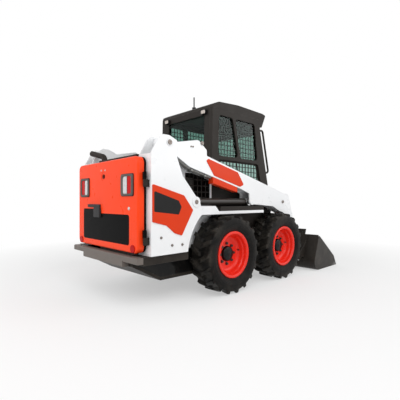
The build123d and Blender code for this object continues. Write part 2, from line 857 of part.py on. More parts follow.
# Grab handle on the right front post, antenna and work lamps
handle_y = cab_half_width - cab_wall / 2
handle_low_z = door_low_z + handle_low_gap
handle_high_z = door_high_z - handle_high_gap
handle_path = [
    (front_x(handle_low_z) - handle_radius, -handle_y, handle_low_z),
    (front_x(handle_low_z) + handle_reach, -handle_y, handle_low_z + handle_slope),
    (front_x(handle_high_z) + handle_reach, -handle_y, handle_high_z + handle_slope),
    (front_x(handle_high_z) - handle_radius, -handle_y, handle_high_z),
]
handle_seat = plate(cab_side_outline, -cab_half_width, -cab_inner_y)
save("grab_handle", tube(handle_path, handle_radius, handle_bend) - handle_seat)
antenna_x = rear_x(cab_roof_z) + antenna_inset
antenna_foot_z = cab_roof_z + roof_shoulder_rise
antenna = post(antenna_x, 0, antenna_foot_z, antenna_foot_z + antenna_foot_height, antenna_foot_radius)
antenna_top_z = antenna_foot_z + antenna_foot_height + antenna_height
antenna = antenna + post(antenna_x, 0, antenna_foot_z, antenna_top_z, antenna_radius)
save("antenna", antenna - roof)
visor_turn = math.degrees(math.atan2(roof_front_x - visor_low_x, roof_front_z - visor_low_z))
visor_middle = Pos((visor_low_x + roof_front_x) / 2, cab_inner_y - work_lamp_inset, (visor_low_z + roof_front_z) / 2)
work_lamp = visor_middle * Rot(0, visor_turn, 0) * Box(work_lamp_depth, work_lamp_width, work_lamp_height)
work_lamp = work_lamp - roof
save("work_lamps", work_lamp, other_side(work_lamp))

# Front door hinged along the left edge of the sloping cab front
front_turn = math.atan2(cab_front_lean, cab_roof_z - cab_toe_z)


def on_front(z, offset):
    return (front_x(z) + offset * math.cos(front_turn), z + offset * math.sin(front_turn))


def front_strip(z_low, z_high, offset_low, offset_high):
    low = [on_front(z_low, offset_low), on_front(z_low, offset_high)]
    return low + [on_front(z_high, offset_high), on_front(z_high, offset_low)]


door_outer = moving_gap + door_thickness
door_middle = moving_gap + door_thickness / 2
pane_half = door_half_width - door_rim
pane_low_z = door_low_z + door_rim
pane_high_z = door_high_z - door_rim
door_strip = front_strip(door_low_z, door_high_z, moving_gap, door_outer)
door_hole = plate(front_strip(pane_low_z, pane_high_z, 0, 2 * door_outer), -pane_half, pane_half)
door_frame = plate(door_strip, -door_half_width, door_half_width) - door_hole
pane_strip = front_strip(pane_low_z, pane_high_z, door_middle - glass_thickness / 2, door_middle + glass_thickness / 2)
save("door_glass", plate(pane_strip, -pane_half, pane_half))
fixed_hinges = []
for hinge_z in (door_low_z + door_hinge_inset, door_high_z - door_hinge_inset):
    hinge_top_z = hinge_z + hinge_length
    leaf_top_z = hinge_z - running_gap
    leaf_low_z = leaf_top_z - hinge_length
    knuckle = side_bar(on_front(hinge_z, door_middle), on_front(hinge_top_z, door_middle), door_hinge_y, hinge_radius)
    strap = front_strip(hinge_z, hinge_top_z, door_middle - hinge_radius / 2, door_middle + hinge_radius / 2)
    door_frame = door_frame + knuckle + plate(strap, door_half_width - sheet, door_hinge_y)
    fixed = side_bar(on_front(leaf_low_z, door_middle), on_front(leaf_top_z, door_middle), door_hinge_y, hinge_radius)
    leaf = front_strip(leaf_low_z, leaf_top_z, 0, door_middle)
    fixed_hinges.append(fixed + plate(leaf, door_hinge_y - hinge_radius / 2, door_hinge_y + hinge_radius))
save("door_frame", door_frame)
save("door_hinges", *fixed_hinges)

# Tailgate with its hinge blocks, lamps and bracket
tailgate_middle = (tailgate_front_x, 0, (tailgate_high_z + tailgate_low_z) / 2)
tailgate_plane = Plane(origin=tailgate_middle, x_dir=(0, 1, 0), z_dir=(-1, 0, 0))
tailgate_face = tailgate_plane * RectangleRounded(2 * tailgate_half_width, tailgate_height, tailgate_corner)
tailgate = extrude(tailgate_face, tailgate_depth)
tailgate = fillet(tailgate.faces().sort_by(Axis.X)[0].edges(), tailgate_skin)
pocket_width = 2 * (tailgate_half_width - tailgate_skin)
pocket_height = tailgate_height - 2 * tailgate_skin
pocket_face = tailgate_plane * RectangleRounded(pocket_width, pocket_height, tailgate_corner - tailgate_skin)
tailgate = tailgate - extrude(pocket_face, tailgate_depth - tailgate_skin)
lamp_outer_y = tailgate_half_width - lamp_inset
lamp_inner_y = lamp_outer_y - lamp_width
lamp_middle_y = (lamp_inner_y + lamp_outer_y) / 2
lamp_high_z = tailgate_high_z - lamp_drop
lamp_low_z = lamp_high_z - lamp_height
lamp_rear_x = tailgate_rear_x - lamp_proud
lens_front_x = lamp_rear_x + lens_depth
lens_low_z = lamp_low_z + lens_margin
lens_high_z = lamp_high_z - lens_margin
lens_half_gap = lens_margin / 4
lamp = block(lamp_rear_x, lamp_rear_x + lamp_depth, lamp_inner_y, lamp_outer_y, lamp_low_z, lamp_high_z)
lamp = fillet(lamp.edges().filter_by(Axis.X), lamp_corner)
tailgate = tailgate - lamp - other_side(lamp)
red_low_y = lamp_middle_y + lens_half_gap
red_lens = block(lamp_rear_x, lens_front_x, red_low_y, lamp_outer_y - lens_margin, lens_low_z, lens_high_z)
clear_high_y = lamp_middle_y - lens_half_gap
clear_lens = block(lamp_rear_x, lens_front_x, lamp_inner_y + lens_margin, clear_high_y, lens_low_z, lens_high_z)
lamp = lamp - red_lens - clear_lens
latch_plane = Plane(origin=(tailgate_rear_x, latch_offset, tailgate_high_z - latch_drop), z_dir=(-1, 0, 0))
tailgate = tailgate - latch_plane * Cylinder(latch_dish_radius, tailgate_skin / 2)
tailgate = tailgate - latch_plane * Cylinder(latch_key_radius, tailgate_skin)
bracket_outer_y = bracket_inner_y + bracket_length
bracket_low_z = tailgate_low_z + bracket_rise
bracket_high_z = bracket_low_z + bracket_height
bracket_rear_x = tailgate_rear_x - bracket_thickness
bracket = block(bracket_rear_x, tailgate_rear_x, bracket_inner_y, bracket_outer_y, bracket_low_z, bracket_high_z)
bracket_bar_y = bracket_outer_y - bracket_bar
bracket_bar_z = bracket_low_z + bracket_bar
bracket = bracket - block(bracket_rear_x, tailgate_rear_x, bracket_inner_y, bracket_bar_y, bracket_bar_z, bracket_high_z)
reflector_y = tailgate_half_width - reflector_inset
reflector_plane = Plane(origin=(tailgate_rear_x, reflector_y, tailgate_low_z + reflector_rise), z_dir=(-1, 0, 0))
reflector = reflector_plane * Pos(0, 0, reflector_thickness / 2) * Cylinder(reflector_radius, reflector_thickness)
hinge_x = tailgate_front_x - tailgate_hinge_depth
hinge_y = -tailgate_half_width - tailgate_hinge_run
strap_half = sheet / 2
tail_blocks = []
for hinge_z in (tailgate_low_z + tail_hinge_low_inset, tailgate_high_z - tail_hinge_high_inset):
    hinge_top_z = hinge_z + tail_hinge_length
    strap_end_y = tailgate_skin / 2 - tailgate_half_width
    tailgate = tailgate + post(hinge_x, hinge_y, hinge_z, hinge_top_z, tail_hinge_radius)
    tailgate = tailgate + block(hinge_x - strap_half, hinge_x + strap_half, hinge_y, strap_end_y, hinge_z, hinge_top_z)
    leaf_top_z = hinge_z - running_gap
    leaf_low_z = leaf_top_z - tail_hinge_length
    fixed = post(hinge_x, hinge_y, leaf_low_z, leaf_top_z, tail_hinge_radius)
    leaf = block(hinge_x, tower_rear_x, hinge_y - tail_hinge_radius, hinge_y, leaf_low_z, leaf_top_z)
    tail_blocks.append(fixed + leaf)
save("tailgate", tailgate)
save("tailgate_hinges", *tail_blocks)
save("lamp_housings", lamp, other_side(lamp))
save("lamp_red", red_lens, other_side(red_lens))
save("lamp_clear", clear_lens, other_side(clear_lens))
save("plate_bracket", bracket)
save("reflectors", reflector, other_side(reflector))

# Engine cover lid over a skirt, both leaving out one corner for the exhaust
cover_lip_z = tailgate_high_z + moving_gap
cover_skirt_x = tailgate_front_x + sheet
cover_roof_z = cover_top_z - sheet
notch_x = exhaust_x + exhaust_notch
notch_y = exhaust_y - exhaust_notch
lid_outline = [
    (cover_rear_x, cover_lip_z),
    (cover_rear_x, cover_top_z - cover_nose_drop),
    (cover_rear_x + cover_nose, cover_top_z),
    (cover_front_x, cover_top_z),
    (cover_front_x, cover_roof_z),
    (cover_skirt_x, cover_roof_z),
    (cover_skirt_x, cover_lip_z),
]
lid = plate(lid_outline, -cover_half_width, cover_half_width)
lid = lid - block(cover_rear_x, notch_x, notch_y, cover_half_width, cover_low_z, cover_top_z)
save("engine_cover", lid)
skirt_outline = [
    (cover_skirt_x, -cover_half_width),
    (cover_front_x, -cover_half_width),
    (cover_front_x, cover_half_width),
    (notch_x, cover_half_width),
    (notch_x, notch_y),
    (cover_skirt_x, notch_y),
]
skirt_face = make_face(Polyline(*skirt_outline, close=True))
skirt_face = skirt_face - offset(skirt_face, -sheet, kind=Kind.INTERSECTION)
skirt = extrude(Pos(0, 0, cover_low_z) * skirt_face, cover_roof_z - cover_low_z)
cover_bore = cover_pin_radius + running_gap
skirt_bore = cross_pin(cover_hinge_x, cover_hinge_z, cover_bore, cover_half_width - 2 * sheet, cover_half_width)
save("cover_skirt", skirt - skirt_bore - other_side(skirt_bore))

# Lift arms, one plate box on each side
arm_outline = [
    (arm_pivot_x, arm_pivot_z - arm_tail_drop),
    (arm_pivot_x + arm_belly_run, arm_pivot_z - arm_belly_drop),
    (rod_pin_x - arm_under_run, rod_pin_z + arm_under_rise),
    (rod_pin_x - arm_bracket_rear, rod_pin_z + arm_bracket_rise),
    (rod_pin_x - arm_bracket_rear, rod_pin_z - arm_bracket_drop),
    (rod_pin_x + arm_keel_run, rod_pin_z - arm_keel_drop),
    (wheelbase + arm_toe_run, axle_z + arm_toe_rise),
    (wheelbase + arm_leg_run, axle_z - arm_leg_drop),
    (bucket_pivot_x - arm_tip_radius, bucket_pivot_z),
    (bucket_pivot_x, bucket_pivot_z - arm_tip_radius / 2),
    (bucket_pivot_x + arm_tip_radius, bucket_pivot_z),
    (cross_tube_x - arm_shin_back, cross_tube_z + arm_shin_rise),
    (cross_tube_x - arm_brow_back, cross_tube_z + arm_brow_rise),
    (cross_tube_x - arm_knee_back, cross_tube_z + arm_knee_rise),
    (arm_pivot_x + arm_hump_front_run, arm_pivot_z - arm_back_drop),
    (arm_pivot_x + arm_hump_front_run, arm_pivot_z - arm_hump_front_drop),
    (arm_pivot_x + arm_hump_run, arm_pivot_z + arm_hump_rise),
    (arm_pivot_x + arm_neck_run, arm_pivot_z + arm_neck_rise),
    (arm_pivot_x, arm_pivot_z + arm_tail_drop),
]
arm_low_rounds = [0, wide_round, wide_round, plain_round, plain_round, wide_round, 0, 0, 0, 0, 0]
arm_high_rounds = [wide_round, wide_round, wide_round, small_round, plain_round, wide_round, wide_round, 0]
arm = plate(arm_outline, arm_inner_y, arm_outer_y, arm_low_rounds + arm_high_rounds)
arm = arm - cross_pin(wheelbase, axle_z, arm_wheel_radius, 0, bucket_half_width)
arm = arm + cross_pin(arm_pivot_x, arm_pivot_z, arm_heel_radius, arm_inner_y, arm_outer_y)
arm = arm + cross_pin(bucket_pivot_x, bucket_pivot_z, arm_tip_radius, arm_inner_y, arm_outer_y)
arm = arm - cross_pin(arm_pivot_x, arm_pivot_z, arm_pin_radius + running_gap, 0, bucket_half_width)
arm = arm - cross_pin(bucket_pivot_x, bucket_pivot_z, bucket_pin_radius + running_gap, 0, bucket_half_width)
eye_low_y = arm_inner_y + arm_wall
eye_high_y = arm_outer_y - arm_wall
eye_top_z = rod_pin_z + eye_room_height
arm = arm - block(rod_pin_x - eye_room, rod_pin_x + eye_room, eye_low_y, eye_high_y, rod_pin_z - eye_room, eye_top_z)
arm = arm + cross_pin(rod_pin_x, rod_pin_z, lift_eye_radius - pin_cap, arm_outer_y, arm_outer_y + pin_cap)
save("arms", arm, other_side(arm))

badge_outline = [
    (arm_pivot_x + badge_rear_run, arm_pivot_z - badge_rear_drop),
    (arm_pivot_x + badge_top_run, arm_pivot_z - badge_top_drop),
    (rod_pin_x - badge_front_back, rod_pin_z + badge_front_rise),
    (rod_pin_x - badge_tip_back, rod_pin_z + badge_tip_rise),
    (rod_pin_x - badge_low_back, rod_pin_z + badge_low_rise),
    (arm_pivot_x + badge_foot_run, arm_pivot_z - badge_foot_drop),
]
badge = plate(badge_outline, arm_outer_y, arm_outer_y + badge_thickness, badge_corner)
save("arm_panels", badge, other_side(badge))

arm_belly_x = arm_pivot_x + arm_belly_run
arm_belly_z = arm_pivot_z - arm_belly_drop
arm_under_slope = (rod_pin_z + arm_under_rise - arm_belly_z) / (rod_pin_x - arm_under_run - arm_belly_x)


def arm_under_z(x):
    return arm_belly_z + arm_under_slope * (x - arm_belly_x)


prop_rear_x = arm_pivot_x + prop_rear_run
prop_front_x = rod_pin_x - prop_front_back
prop_outline = [
    (prop_rear_x, arm_under_z(prop_rear_x)),
    (prop_rear_x, arm_under_z(prop_rear_x) - prop_rear_height),
    (prop_front_x, arm_under_z(prop_front_x) - prop_front_height),
    (prop_front_x, arm_under_z(prop_front_x)),
]
save("arm_prop", plate(prop_outline, -arm_outer_y, prop_width - arm_outer_y))

crossmember = cross_pin(cross_tube_x, cross_tube_z, cross_tube_radius, -arm_inner_y, arm_inner_y)
ear_inner_y = tilt_y - tilt_barrel_radius - moving_gap - sheet
ear_outer_y = tilt_y + tilt_barrel_radius + moving_gap
tube_edge = cross_tube_radius - pin_cap
ear_outline = [
    (tilt_base_x - tilt_ear_half, tilt_base_z - tilt_ear_drop),
    (cross_tube_x, cross_tube_z - tube_edge),
    (cross_tube_x, cross_tube_z + tube_edge),
    (tilt_base_x, tilt_base_z + tilt_ear_half),
    (tilt_base_x - tilt_ear_half, tilt_base_z + tilt_ear_drop),
]
ear_rounds = [plain_round, 0, 0, small_round, small_round]
tilt_ears = plate(ear_outline, ear_inner_y, ear_inner_y + sheet, ear_rounds)
tilt_ears = tilt_ears + plate(ear_outline, ear_outer_y, ear_outer_y + sheet, ear_rounds)
tilt_ears = tilt_ears + cross_pin(tilt_base_x, tilt_base_z, tilt_pin_radius, ear_inner_y, ear_outer_y + sheet)
save("arm_crossmember", crossmember + tilt_ears + other_side(tilt_ears))

# Lift cylinders
lift_base = (lift_base_x, lift_base_z)
rod_pin = (rod_pin_x, rod_pin_z)
lift_length = math.dist(lift_base, rod_pin)
lift_eye_low_y = arm_mid_y - lift_eye_width / 2
lift_eye_high_y = arm_mid_y + lift_eye_width / 2
lift_barrel_end = along(lift_base, rod_pin, lift_length - lift_eye_radius - lift_barrel_gap)
lift_barrel = side_bar(lift_base, lift_barrel_end, arm_mid_y, lift_barrel_radius)
lift_barrel = lift_barrel + cross_pin(*lift_base, lift_eye_radius, lift_eye_low_y, lift_eye_high_y)
lift_bore_start = along(lift_base, rod_pin, lift_bore_depth)
lift_barrel = lift_barrel - side_bar(lift_bore_start, rod_pin, arm_mid_y, lift_rod_radius + running_gap)
lift_barrel = lift_barrel - cross_pin(*lift_base, lift_pin_radius + running_gap, 0, bucket_half_width)
save("lift_barrels", lift_barrel, other_side(lift_barrel))
lift_rod = side_bar(along(lift_base, rod_pin, lift_rod_depth), rod_pin, arm_mid_y, lift_rod_radius)
lift_rod = lift_rod + cross_pin(*rod_pin, lift_eye_radius, lift_eye_low_y, lift_eye_high_y)
save("lift_rods", lift_rod, other_side(lift_rod))

# Tilt cylinders
tilt_base = (tilt_base_x, tilt_base_z)
tilt_pin = (tilt_rod_x, tilt_rod_z)
tilt_length = math.dist(tilt_base, tilt_pin)
tilt_eye_low_y = tilt_y - tilt_eye_width / 2
tilt_eye_high_y = tilt_y + tilt_eye_width / 2
tilt_neck = along(tilt_base, tilt_pin, tilt_barrel_start)
tilt_barrel_end = along(tilt_base, tilt_pin, tilt_length - tilt_eye_radius - tilt_barrel_gap)
tilt_barrel = side_bar(tilt_neck, tilt_barrel_end, tilt_y, tilt_barrel_radius)
tilt_barrel = tilt_barrel + side_bar(tilt_base, tilt_neck, tilt_y, tilt_eye_width / 2)
tilt_barrel = tilt_barrel + cross_pin(*tilt_base, tilt_eye_radius, tilt_eye_low_y, tilt_eye_high_y)
tilt_bore = along(tilt_base, tilt_pin, tilt_bore_start)
tilt_barrel = tilt_barrel - side_bar(tilt_bore, tilt_pin, tilt_y, tilt_rod_radius + running_gap)
tilt_barrel = tilt_barrel - cross_pin(*tilt_base, tilt_pin_radius + running_gap, 0, bucket_half_width)
save("tilt_barrels", tilt_barrel, other_side(tilt_barrel))
tilt_rod = side_bar(along(tilt_base, tilt_pin, tilt_rod_start), tilt_pin, tilt_y, tilt_rod_radius)
tilt_rod = tilt_rod + cross_pin(*tilt_pin, tilt_eye_radius, tilt_eye_low_y, tilt_eye_high_y)
save("tilt_rods", tilt_rod, other_side(tilt_rod))

# Bucket and the attachment frame behind it
back_turn = math.atan(bucket_back_slope)
skin_x = bucket_skin / math.cos(back_turn)
tach_x = tach_thickness / math.cos(back_turn)


def back_x(z):
    return bucket_heel_x + bucket_back_slope * (z - bucket_floor_z)


floor_top_z = bucket_floor_z + bucket_skin
cheek_in_y = bucket_half_width - bucket_skin
shell_outline = [
    (bucket_reach, bucket_floor_z),
    (bucket_heel_x, bucket_floor_z),
    (back_x(bucket_guard_z), bucket_guard_z),
    (back_x(bucket_guard_z) + skin_x, bucket_guard_z),
    (back_x(floor_top_z) + skin_x, floor_top_z),
    (bucket_reach - bucket_edge, floor_top_z),
]
shell_rounds = [0, bucket_heel_radius, 0, 0, bucket_heel_radius - bucket_skin, 0]
shell = plate(shell_outline, -cheek_in_y, cheek_in_y, shell_rounds)
guard_cut = block(0, bucket_reach, bucket_guard_half_width, bucket_half_width, bucket_top_z, bucket_guard_z)
shell = shell - guard_cut - other_side(guard_cut)
cheek_outline = [
    (bucket_reach - bucket_cheek_tip, bucket_floor_z),
    (bucket_heel_x, bucket_floor_z),
    (back_x(bucket_top_z), bucket_top_z),
    (bucket_cheek_x, bucket_cheek_z),
]
cheek = plate(cheek_outline, cheek_in_y, bucket_half_width, [0, bucket_heel_radius, plain_round, wide_round])
save("bucket", shell + cheek + other_side(cheek))

tach_outline = [
    (back_x(tach_low_z), tach_low_z),
    (back_x(bucket_top_z), bucket_top_z),
    (back_x(bucket_top_z) - tach_x, bucket_top_z),
    (back_x(tach_low_z) - tach_x, tach_low_z),
]
rod_ear_low_y = tilt_eye_low_y - tilt_eye_gap
rod_ear_high_y = tilt_eye_high_y + tilt_eye_gap
window_low = tach_low_z + tach_window_margin
window_high = bucket_top_z - tach_window_margin
tach_window = block(0, bucket_reach, rod_ear_low_y, rod_ear_high_y, window_low, window_high)
middle_half = ear_inner_y - tach_middle_inset
middle_low = tach_low_z + tach_middle_margin
middle_high = bucket_top_z - tach_middle_margin
tach = plate(tach_outline, -tach_half_width, tach_half_width)
tach = tach - tach_window - other_side(tach_window)
tach = tach - block(0, bucket_reach, -middle_half, middle_half, middle_low, middle_high)


def tach_mid_x(z):
    return back_x(z) - tach_x / 2


pivot_low_z = tach_low_z + pivot_ear_margin
pivot_high_z = tach_low_z + pivot_ear_height
pivot_ear = [
    (tach_mid_x(pivot_low_z), pivot_low_z),
    (tach_mid_x(pivot_high_z), pivot_high_z),
    (bucket_pivot_x - pivot_ear_radius / 2, bucket_pivot_z + pivot_ear_radius),
    (bucket_pivot_x - pivot_ear_radius / 2, bucket_pivot_z - bucket_pin_radius / 2),
]
inner_ear_y = arm_inner_y - moving_gap
outer_ear_y = arm_outer_y + moving_gap
for ear_y in (inner_ear_y - sheet, outer_ear_y):
    ear = plate(pivot_ear, ear_y, ear_y + sheet)
    ear = ear + cross_pin(bucket_pivot_x, bucket_pivot_z, pivot_ear_radius, ear_y, ear_y + sheet)
    tach = tach + ear + other_side(ear)
pivot_pin = cross_pin(bucket_pivot_x, bucket_pivot_z, bucket_pin_radius, inner_ear_y - sheet, outer_ear_y + sheet)
tach = tach + pivot_pin + other_side(pivot_pin)
rod_ear = [
    (tach_mid_x(tach_low_z + rod_ear_margin), tach_low_z + rod_ear_margin),
    (tach_mid_x(bucket_top_z - rod_ear_margin), bucket_top_z - rod_ear_margin),
    (tilt_rod_x - rod_ear_back, tilt_rod_z + rod_ear_margin),
    (tilt_rod_x - rod_ear_back, tilt_rod_z - rod_ear_drop),
]
for ear_y in (rod_ear_low_y - sheet, rod_ear_high_y):
    ear = plate(rod_ear, ear_y, ear_y + sheet, [0, 0, plain_round, plain_round])
    tach = tach + ear + other_side(ear)
save("tach_frame", tach)

lever_foot_x = tach_mid_x(bucket_top_z)
foot_top_z = bucket_top_z + tach_lever_foot_height
tach_lever = post(lever_foot_x, tach_lever_y, bucket_top_z, foot_top_z, tach_lever_foot_radius)
lever_start = (lever_foot_x, bucket_top_z + tach_lever_foot_radius)
lever_end = (lever_foot_x - tach_lever_lean, bucket_top_z + tach_lever_height)
tach_lever = tach_lever + side_bar(lever_start, lever_end, tach_lever_y, tach_lever_radius)
save("tach_levers", tach_lever, other_side(tach_lever))

# Wheels: tyre out to the lug tips, rim with its recessed disc, hub and cap
half_tread = tyre_width / 2
bead_half_width = rim_seat_half_width - seat_gap
bead_radius = rim_seat_radius + seat_gap
bead_top_radius = rim_flange_radius + seat_gap
wall_radius = rim_flange_radius + tyre_wall_height
shoulder_radius = tyre_radius - tyre_shoulder_drop
shoulder_half = half_tread - tyre_shoulder_width
tyre_section = [
    (-bead_half_width, bead_radius),
    (-bead_half_width, bead_top_radius),
    (-half_tread, wall_radius),
    (-half_tread, shoulder_radius),
    (-shoulder_half, tyre_radius),
    (shoulder_half, tyre_radius),
    (half_tread, shoulder_radius),
    (half_tread, wall_radius),
    (bead_half_width, bead_top_radius),
    (bead_half_width, bead_radius),
]
tyre_rounds = [0, 0, plain_round, plain_round, small_round, small_round, plain_round, plain_round, 0, 0]
flange_out = rim_seat_half_width + rim_flange_thickness
barrel_radius = rim_seat_radius - rim_wall
hub_back = axle_tube_end + hub_gap - track_half
disc_front = rim_disc_offset + sheet / 2
disc_back = rim_disc_offset - sheet / 2
cap_front = disc_front + hub_cap_length
spindle_bore = rim_disc_offset / 2 + hub_gap / 2
bore_radius = spindle_radius + running_gap
rim_section = [
    (spindle_bore, 0),
    (cap_front, 0),
    (cap_front, hub_radius - hub_cap_bevel),
    (cap_front - hub_cap_bevel, hub_radius),
    (disc_front, hub_radius),
    (disc_front, barrel_radius),
    (flange_out, barrel_radius),
    (flange_out, rim_flange_radius),
    (rim_seat_half_width, rim_flange_radius),
    (rim_seat_half_width, rim_seat_radius),
    (-rim_seat_half_width, rim_seat_radius),
    (-rim_seat_half_width, rim_flange_radius),
    (-flange_out, rim_flange_radius),
    (-flange_out, barrel_radius),
    (disc_back, barrel_radius),
    (disc_back, hub_radius),
    (hub_back, hub_radius),
    (hub_back, bore_radius),
    (spindle_bore, bore_radius),
]


def turned(section, radii=0):
    face = make_face(FilletPolyline(*section, radius=radii, close=True))
    return Rot(0, 0, 90) * revolve(face, Axis.X)


tyre = turned(tyre_section, tyre_rounds)
rim = turned(rim_section)
for axle_name, axle_x in (("rear", 0), ("front", wheelbase)):
    left = Pos(axle_x, track_half, axle_z)
    save(f"tyre_{axle_name}_left", left * tyre)
    save(f"rim_{axle_name}_left", left * rim)
    save(f"tyre_{axle_name}_right", other_side(left * tyre))
    save(f"rim_{axle_name}_right", other_side(left * rim))
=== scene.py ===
"""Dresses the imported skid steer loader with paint, glass, rubber, small fittings and a studio stage."""
import json
import math

import bpy
import numpy as np
from bpy.props import FloatProperty, FloatVectorProperty, IntProperty, PointerProperty
from mathutils import Matrix, Vector


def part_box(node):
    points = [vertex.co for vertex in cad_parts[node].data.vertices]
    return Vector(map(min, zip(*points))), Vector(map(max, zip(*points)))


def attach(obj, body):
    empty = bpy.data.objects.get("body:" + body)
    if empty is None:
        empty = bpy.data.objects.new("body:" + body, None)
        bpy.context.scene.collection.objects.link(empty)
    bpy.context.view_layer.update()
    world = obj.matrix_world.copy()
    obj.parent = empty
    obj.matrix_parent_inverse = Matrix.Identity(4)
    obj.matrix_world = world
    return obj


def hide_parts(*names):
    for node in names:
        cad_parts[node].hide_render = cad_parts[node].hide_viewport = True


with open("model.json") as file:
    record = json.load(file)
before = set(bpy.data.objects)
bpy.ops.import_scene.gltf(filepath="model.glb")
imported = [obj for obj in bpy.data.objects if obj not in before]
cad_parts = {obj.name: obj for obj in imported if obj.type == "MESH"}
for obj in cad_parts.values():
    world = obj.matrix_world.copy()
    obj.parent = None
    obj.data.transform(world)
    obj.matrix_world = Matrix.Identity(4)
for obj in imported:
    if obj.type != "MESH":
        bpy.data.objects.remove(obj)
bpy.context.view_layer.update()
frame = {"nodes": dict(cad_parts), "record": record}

bl_info = {
    "name": "Skid steer loader looks",
    "version": (1, 0, 0),
    "blender": (4, 5, 0),
    "location": "View3D > Sidebar > Loader",
    "description": "Paints the loader, adds its small fittings and sets the stage",
    "category": "Object",
}

# Lengths are in metres and places in the frame's axes: x ahead, y to the left and z up.
WHEELS = ("rear_left", "rear_right", "front_left", "front_right")
SIDES = (1.0, -1.0)  # left, right
REARWARD = (-1, 0, 0)
INK = (0.004, 0.004, 0.004)
BARE_STEEL = (0.30, 0.29, 0.28)
LAMP_PALE = (0.72, 0.66, 0.58)
WHITE = (1.0, 1.0, 1.0, 1.0)
PAINT_STEP = 0.0005  # a second colour starts this far beyond a face
TIP = 0.0002  # radius of the ring that closes a turned surface

# Wheels
DISC_FACE = 0.008  # outer face of the wheel's disc, from the middle of the rim
HUB_RADIUS = 0.0765
RIM_TURNS = 72
# Sections of the outer flange and of the whole rim: radius, and place along the axle
FLANGE = (
    (0.2095, 0.103), (0.21, 0.104), (0.2288, 0.1041), (0.229, 0.106), (0.2285, 0.1105), (0.2255, 0.1145),
    (0.219, 0.116),
)
RIM_SECTION = (
    # Bore, hub and back of the disc
    (TIP, 0.015), (0.0305, 0.015), (0.0305, -0.023), (0.074, -0.023), (0.075, -0.022), (0.0755, -0.005),
    (0.079, -0.004), (0.19, -0.004), (0.195, -0.007), (0.1955, -0.012),
    # Inner flange, which mirrors the outer one
    (0.1955, -0.1), (0.204, -0.1125), *((radius, -along) for radius, along in reversed(FLANGE)),
    # Outer flange, and the barrel's steps down to the disc
    *FLANGE, (0.211, 0.1155), (0.204, 0.1125), (0.1985, 0.106), (0.1962, 0.098), (0.1955, 0.08),
    (0.1935, 0.0725), (0.187, 0.067), (0.1842, 0.06), (0.183, 0.046), (0.18, 0.03), (0.172, 0.018),
    (0.158, 0.01), (0.148, DISC_FACE), (0.08, DISC_FACE),
    # Hub cap
    (0.0762, 0.009), (0.0755, 0.012), (0.075, 0.025), (0.0735, 0.031), (0.067, 0.039), (0.058, 0.043),
    (0.021, 0.0435), (0.019, 0.044), (0.018, 0.0465), (0.016, 0.047), (TIP, 0.047),
)
FLANGE_HEIGHT = 0.0194
FLANGE_GAP = 0.0001  # between the rim's flange and the tyre
SEAT_HALF = 0.1039  # half of the tyre's width on its seat
NUT_WASHER = 0.62
NUT_BORE = 0.007
VALVE_AHEAD, VALVE_RISE = 0.165, 0.02
VALVE_STEM = ((0.006, 0.0), (0.006, 0.022), (0.0045, 0.024), (0.0045, 0.034), (TIP, 0.036))

# Tyres
LUG_HEIGHT = 0.023
LUG_CLEARANCE = 0.0003  # of the lugs' tops inside the solid
LUG_END_INSET = 0.004  # of a lug's foot inside the side wall
LUG_ROWS = 4  # section rows on a lug's end, and as many over its edge
SHOULDER_DROP = 0.040
TREAD_INSET = 0.024
WALL_INSET = 0.003
WALL_RINGS = ((0.0025, 0.020, 0.004), (0.0015, 0.086, 0.003))  # height, distance from the flange, width
WIDEST = 0.6  # share of the side wall's height where it is widest

# Tailgate: corners of the black panel's two boxes in y and z, and places in y and z
GATE_PANELS = (((-0.424, 0.537), (0.433, 0.790)), ((0.060, 0.537), (0.433, 0.830)))
GATE_PANEL_CORNER = 0.024
GATE_PANEL_DEPTH = 0.004
# Width of the black band on the tailgate's front rim: painted shade of the shadowed gap between tailgate and
# towers
GATE_GAP_SHADE = 0.020
LOCK_PLACE = (0.017, 1.128)
LOCK_RING = ((0.020, -0.012), (0.020, 0.001), (0.016, 0.002), (0.013, -0.004), (TIP, -0.006))
GATE_SCREWS = ((0.057, 1.185, 0.012), (-0.018, 1.183, 0.012), (-0.421, 0.841, 0.022))  # y, z, width
SCREW_HEIGHT = 0.005
BEZEL_INSET = 0.003
BEZEL_HOLE = (0.066, 0.072)
BEZEL_RISE = 0.008

# Heads on the arms and towers: x, z and, for a pin, its share of the common radius
ARM_PINS = ((-0.905, 1.440, 0.8), (0.470, 0.895, 0.8), (0.865, 0.180, 1.4))
ARM_BOLTS = ((-1.041, 1.394), (-1.017, 1.395))
ARM_BOLT_SHARE = 0.7
ARM_SUNK, TOWER_SUNK = 0.005, 0.006  # heads stand this far inside the outermost faces
TOWER_PINS = ((-1.304, 1.397, 1.0), (-0.996, 0.895, 0.9))
TOWER_BOLTS = ((-1.390, 0.601), (-1.275, 0.529), (-1.162, 0.526))

# Lines and clamps under the arms, in x and z, and the lines' places across
LINE_RUN = ((-1.190, 1.283), (-1.055, 1.209), (-0.770, 1.139))
LINE_PLACES = (0.568, 0.535)
CLAMPS = ((-1.020, 1.198), (-0.850, 1.156))
CLAMP_HALF = (0.016, 0.034, 0.012)
CLAMP_LEAN = 0.24

# Upper side windows of the cab, low edge first: x at the rear and at the front, and the edge's height
SIDE_WINDOWS = (
    ((-0.5017, -0.1730, 1.385), (-0.4924, -0.2700, 1.815)),
    ((-0.1330, 0.1859, 1.385), (-0.2300, 0.1280, 1.815)),
)
WIRE_INSET = 0.008
WIRE_SUNK = 0.003  # depth of a wire's ends in the window's frame

# Lamps high on the cab's back
REAR_LAMP_OUT, REAR_LAMP_Z = 0.31, 1.842

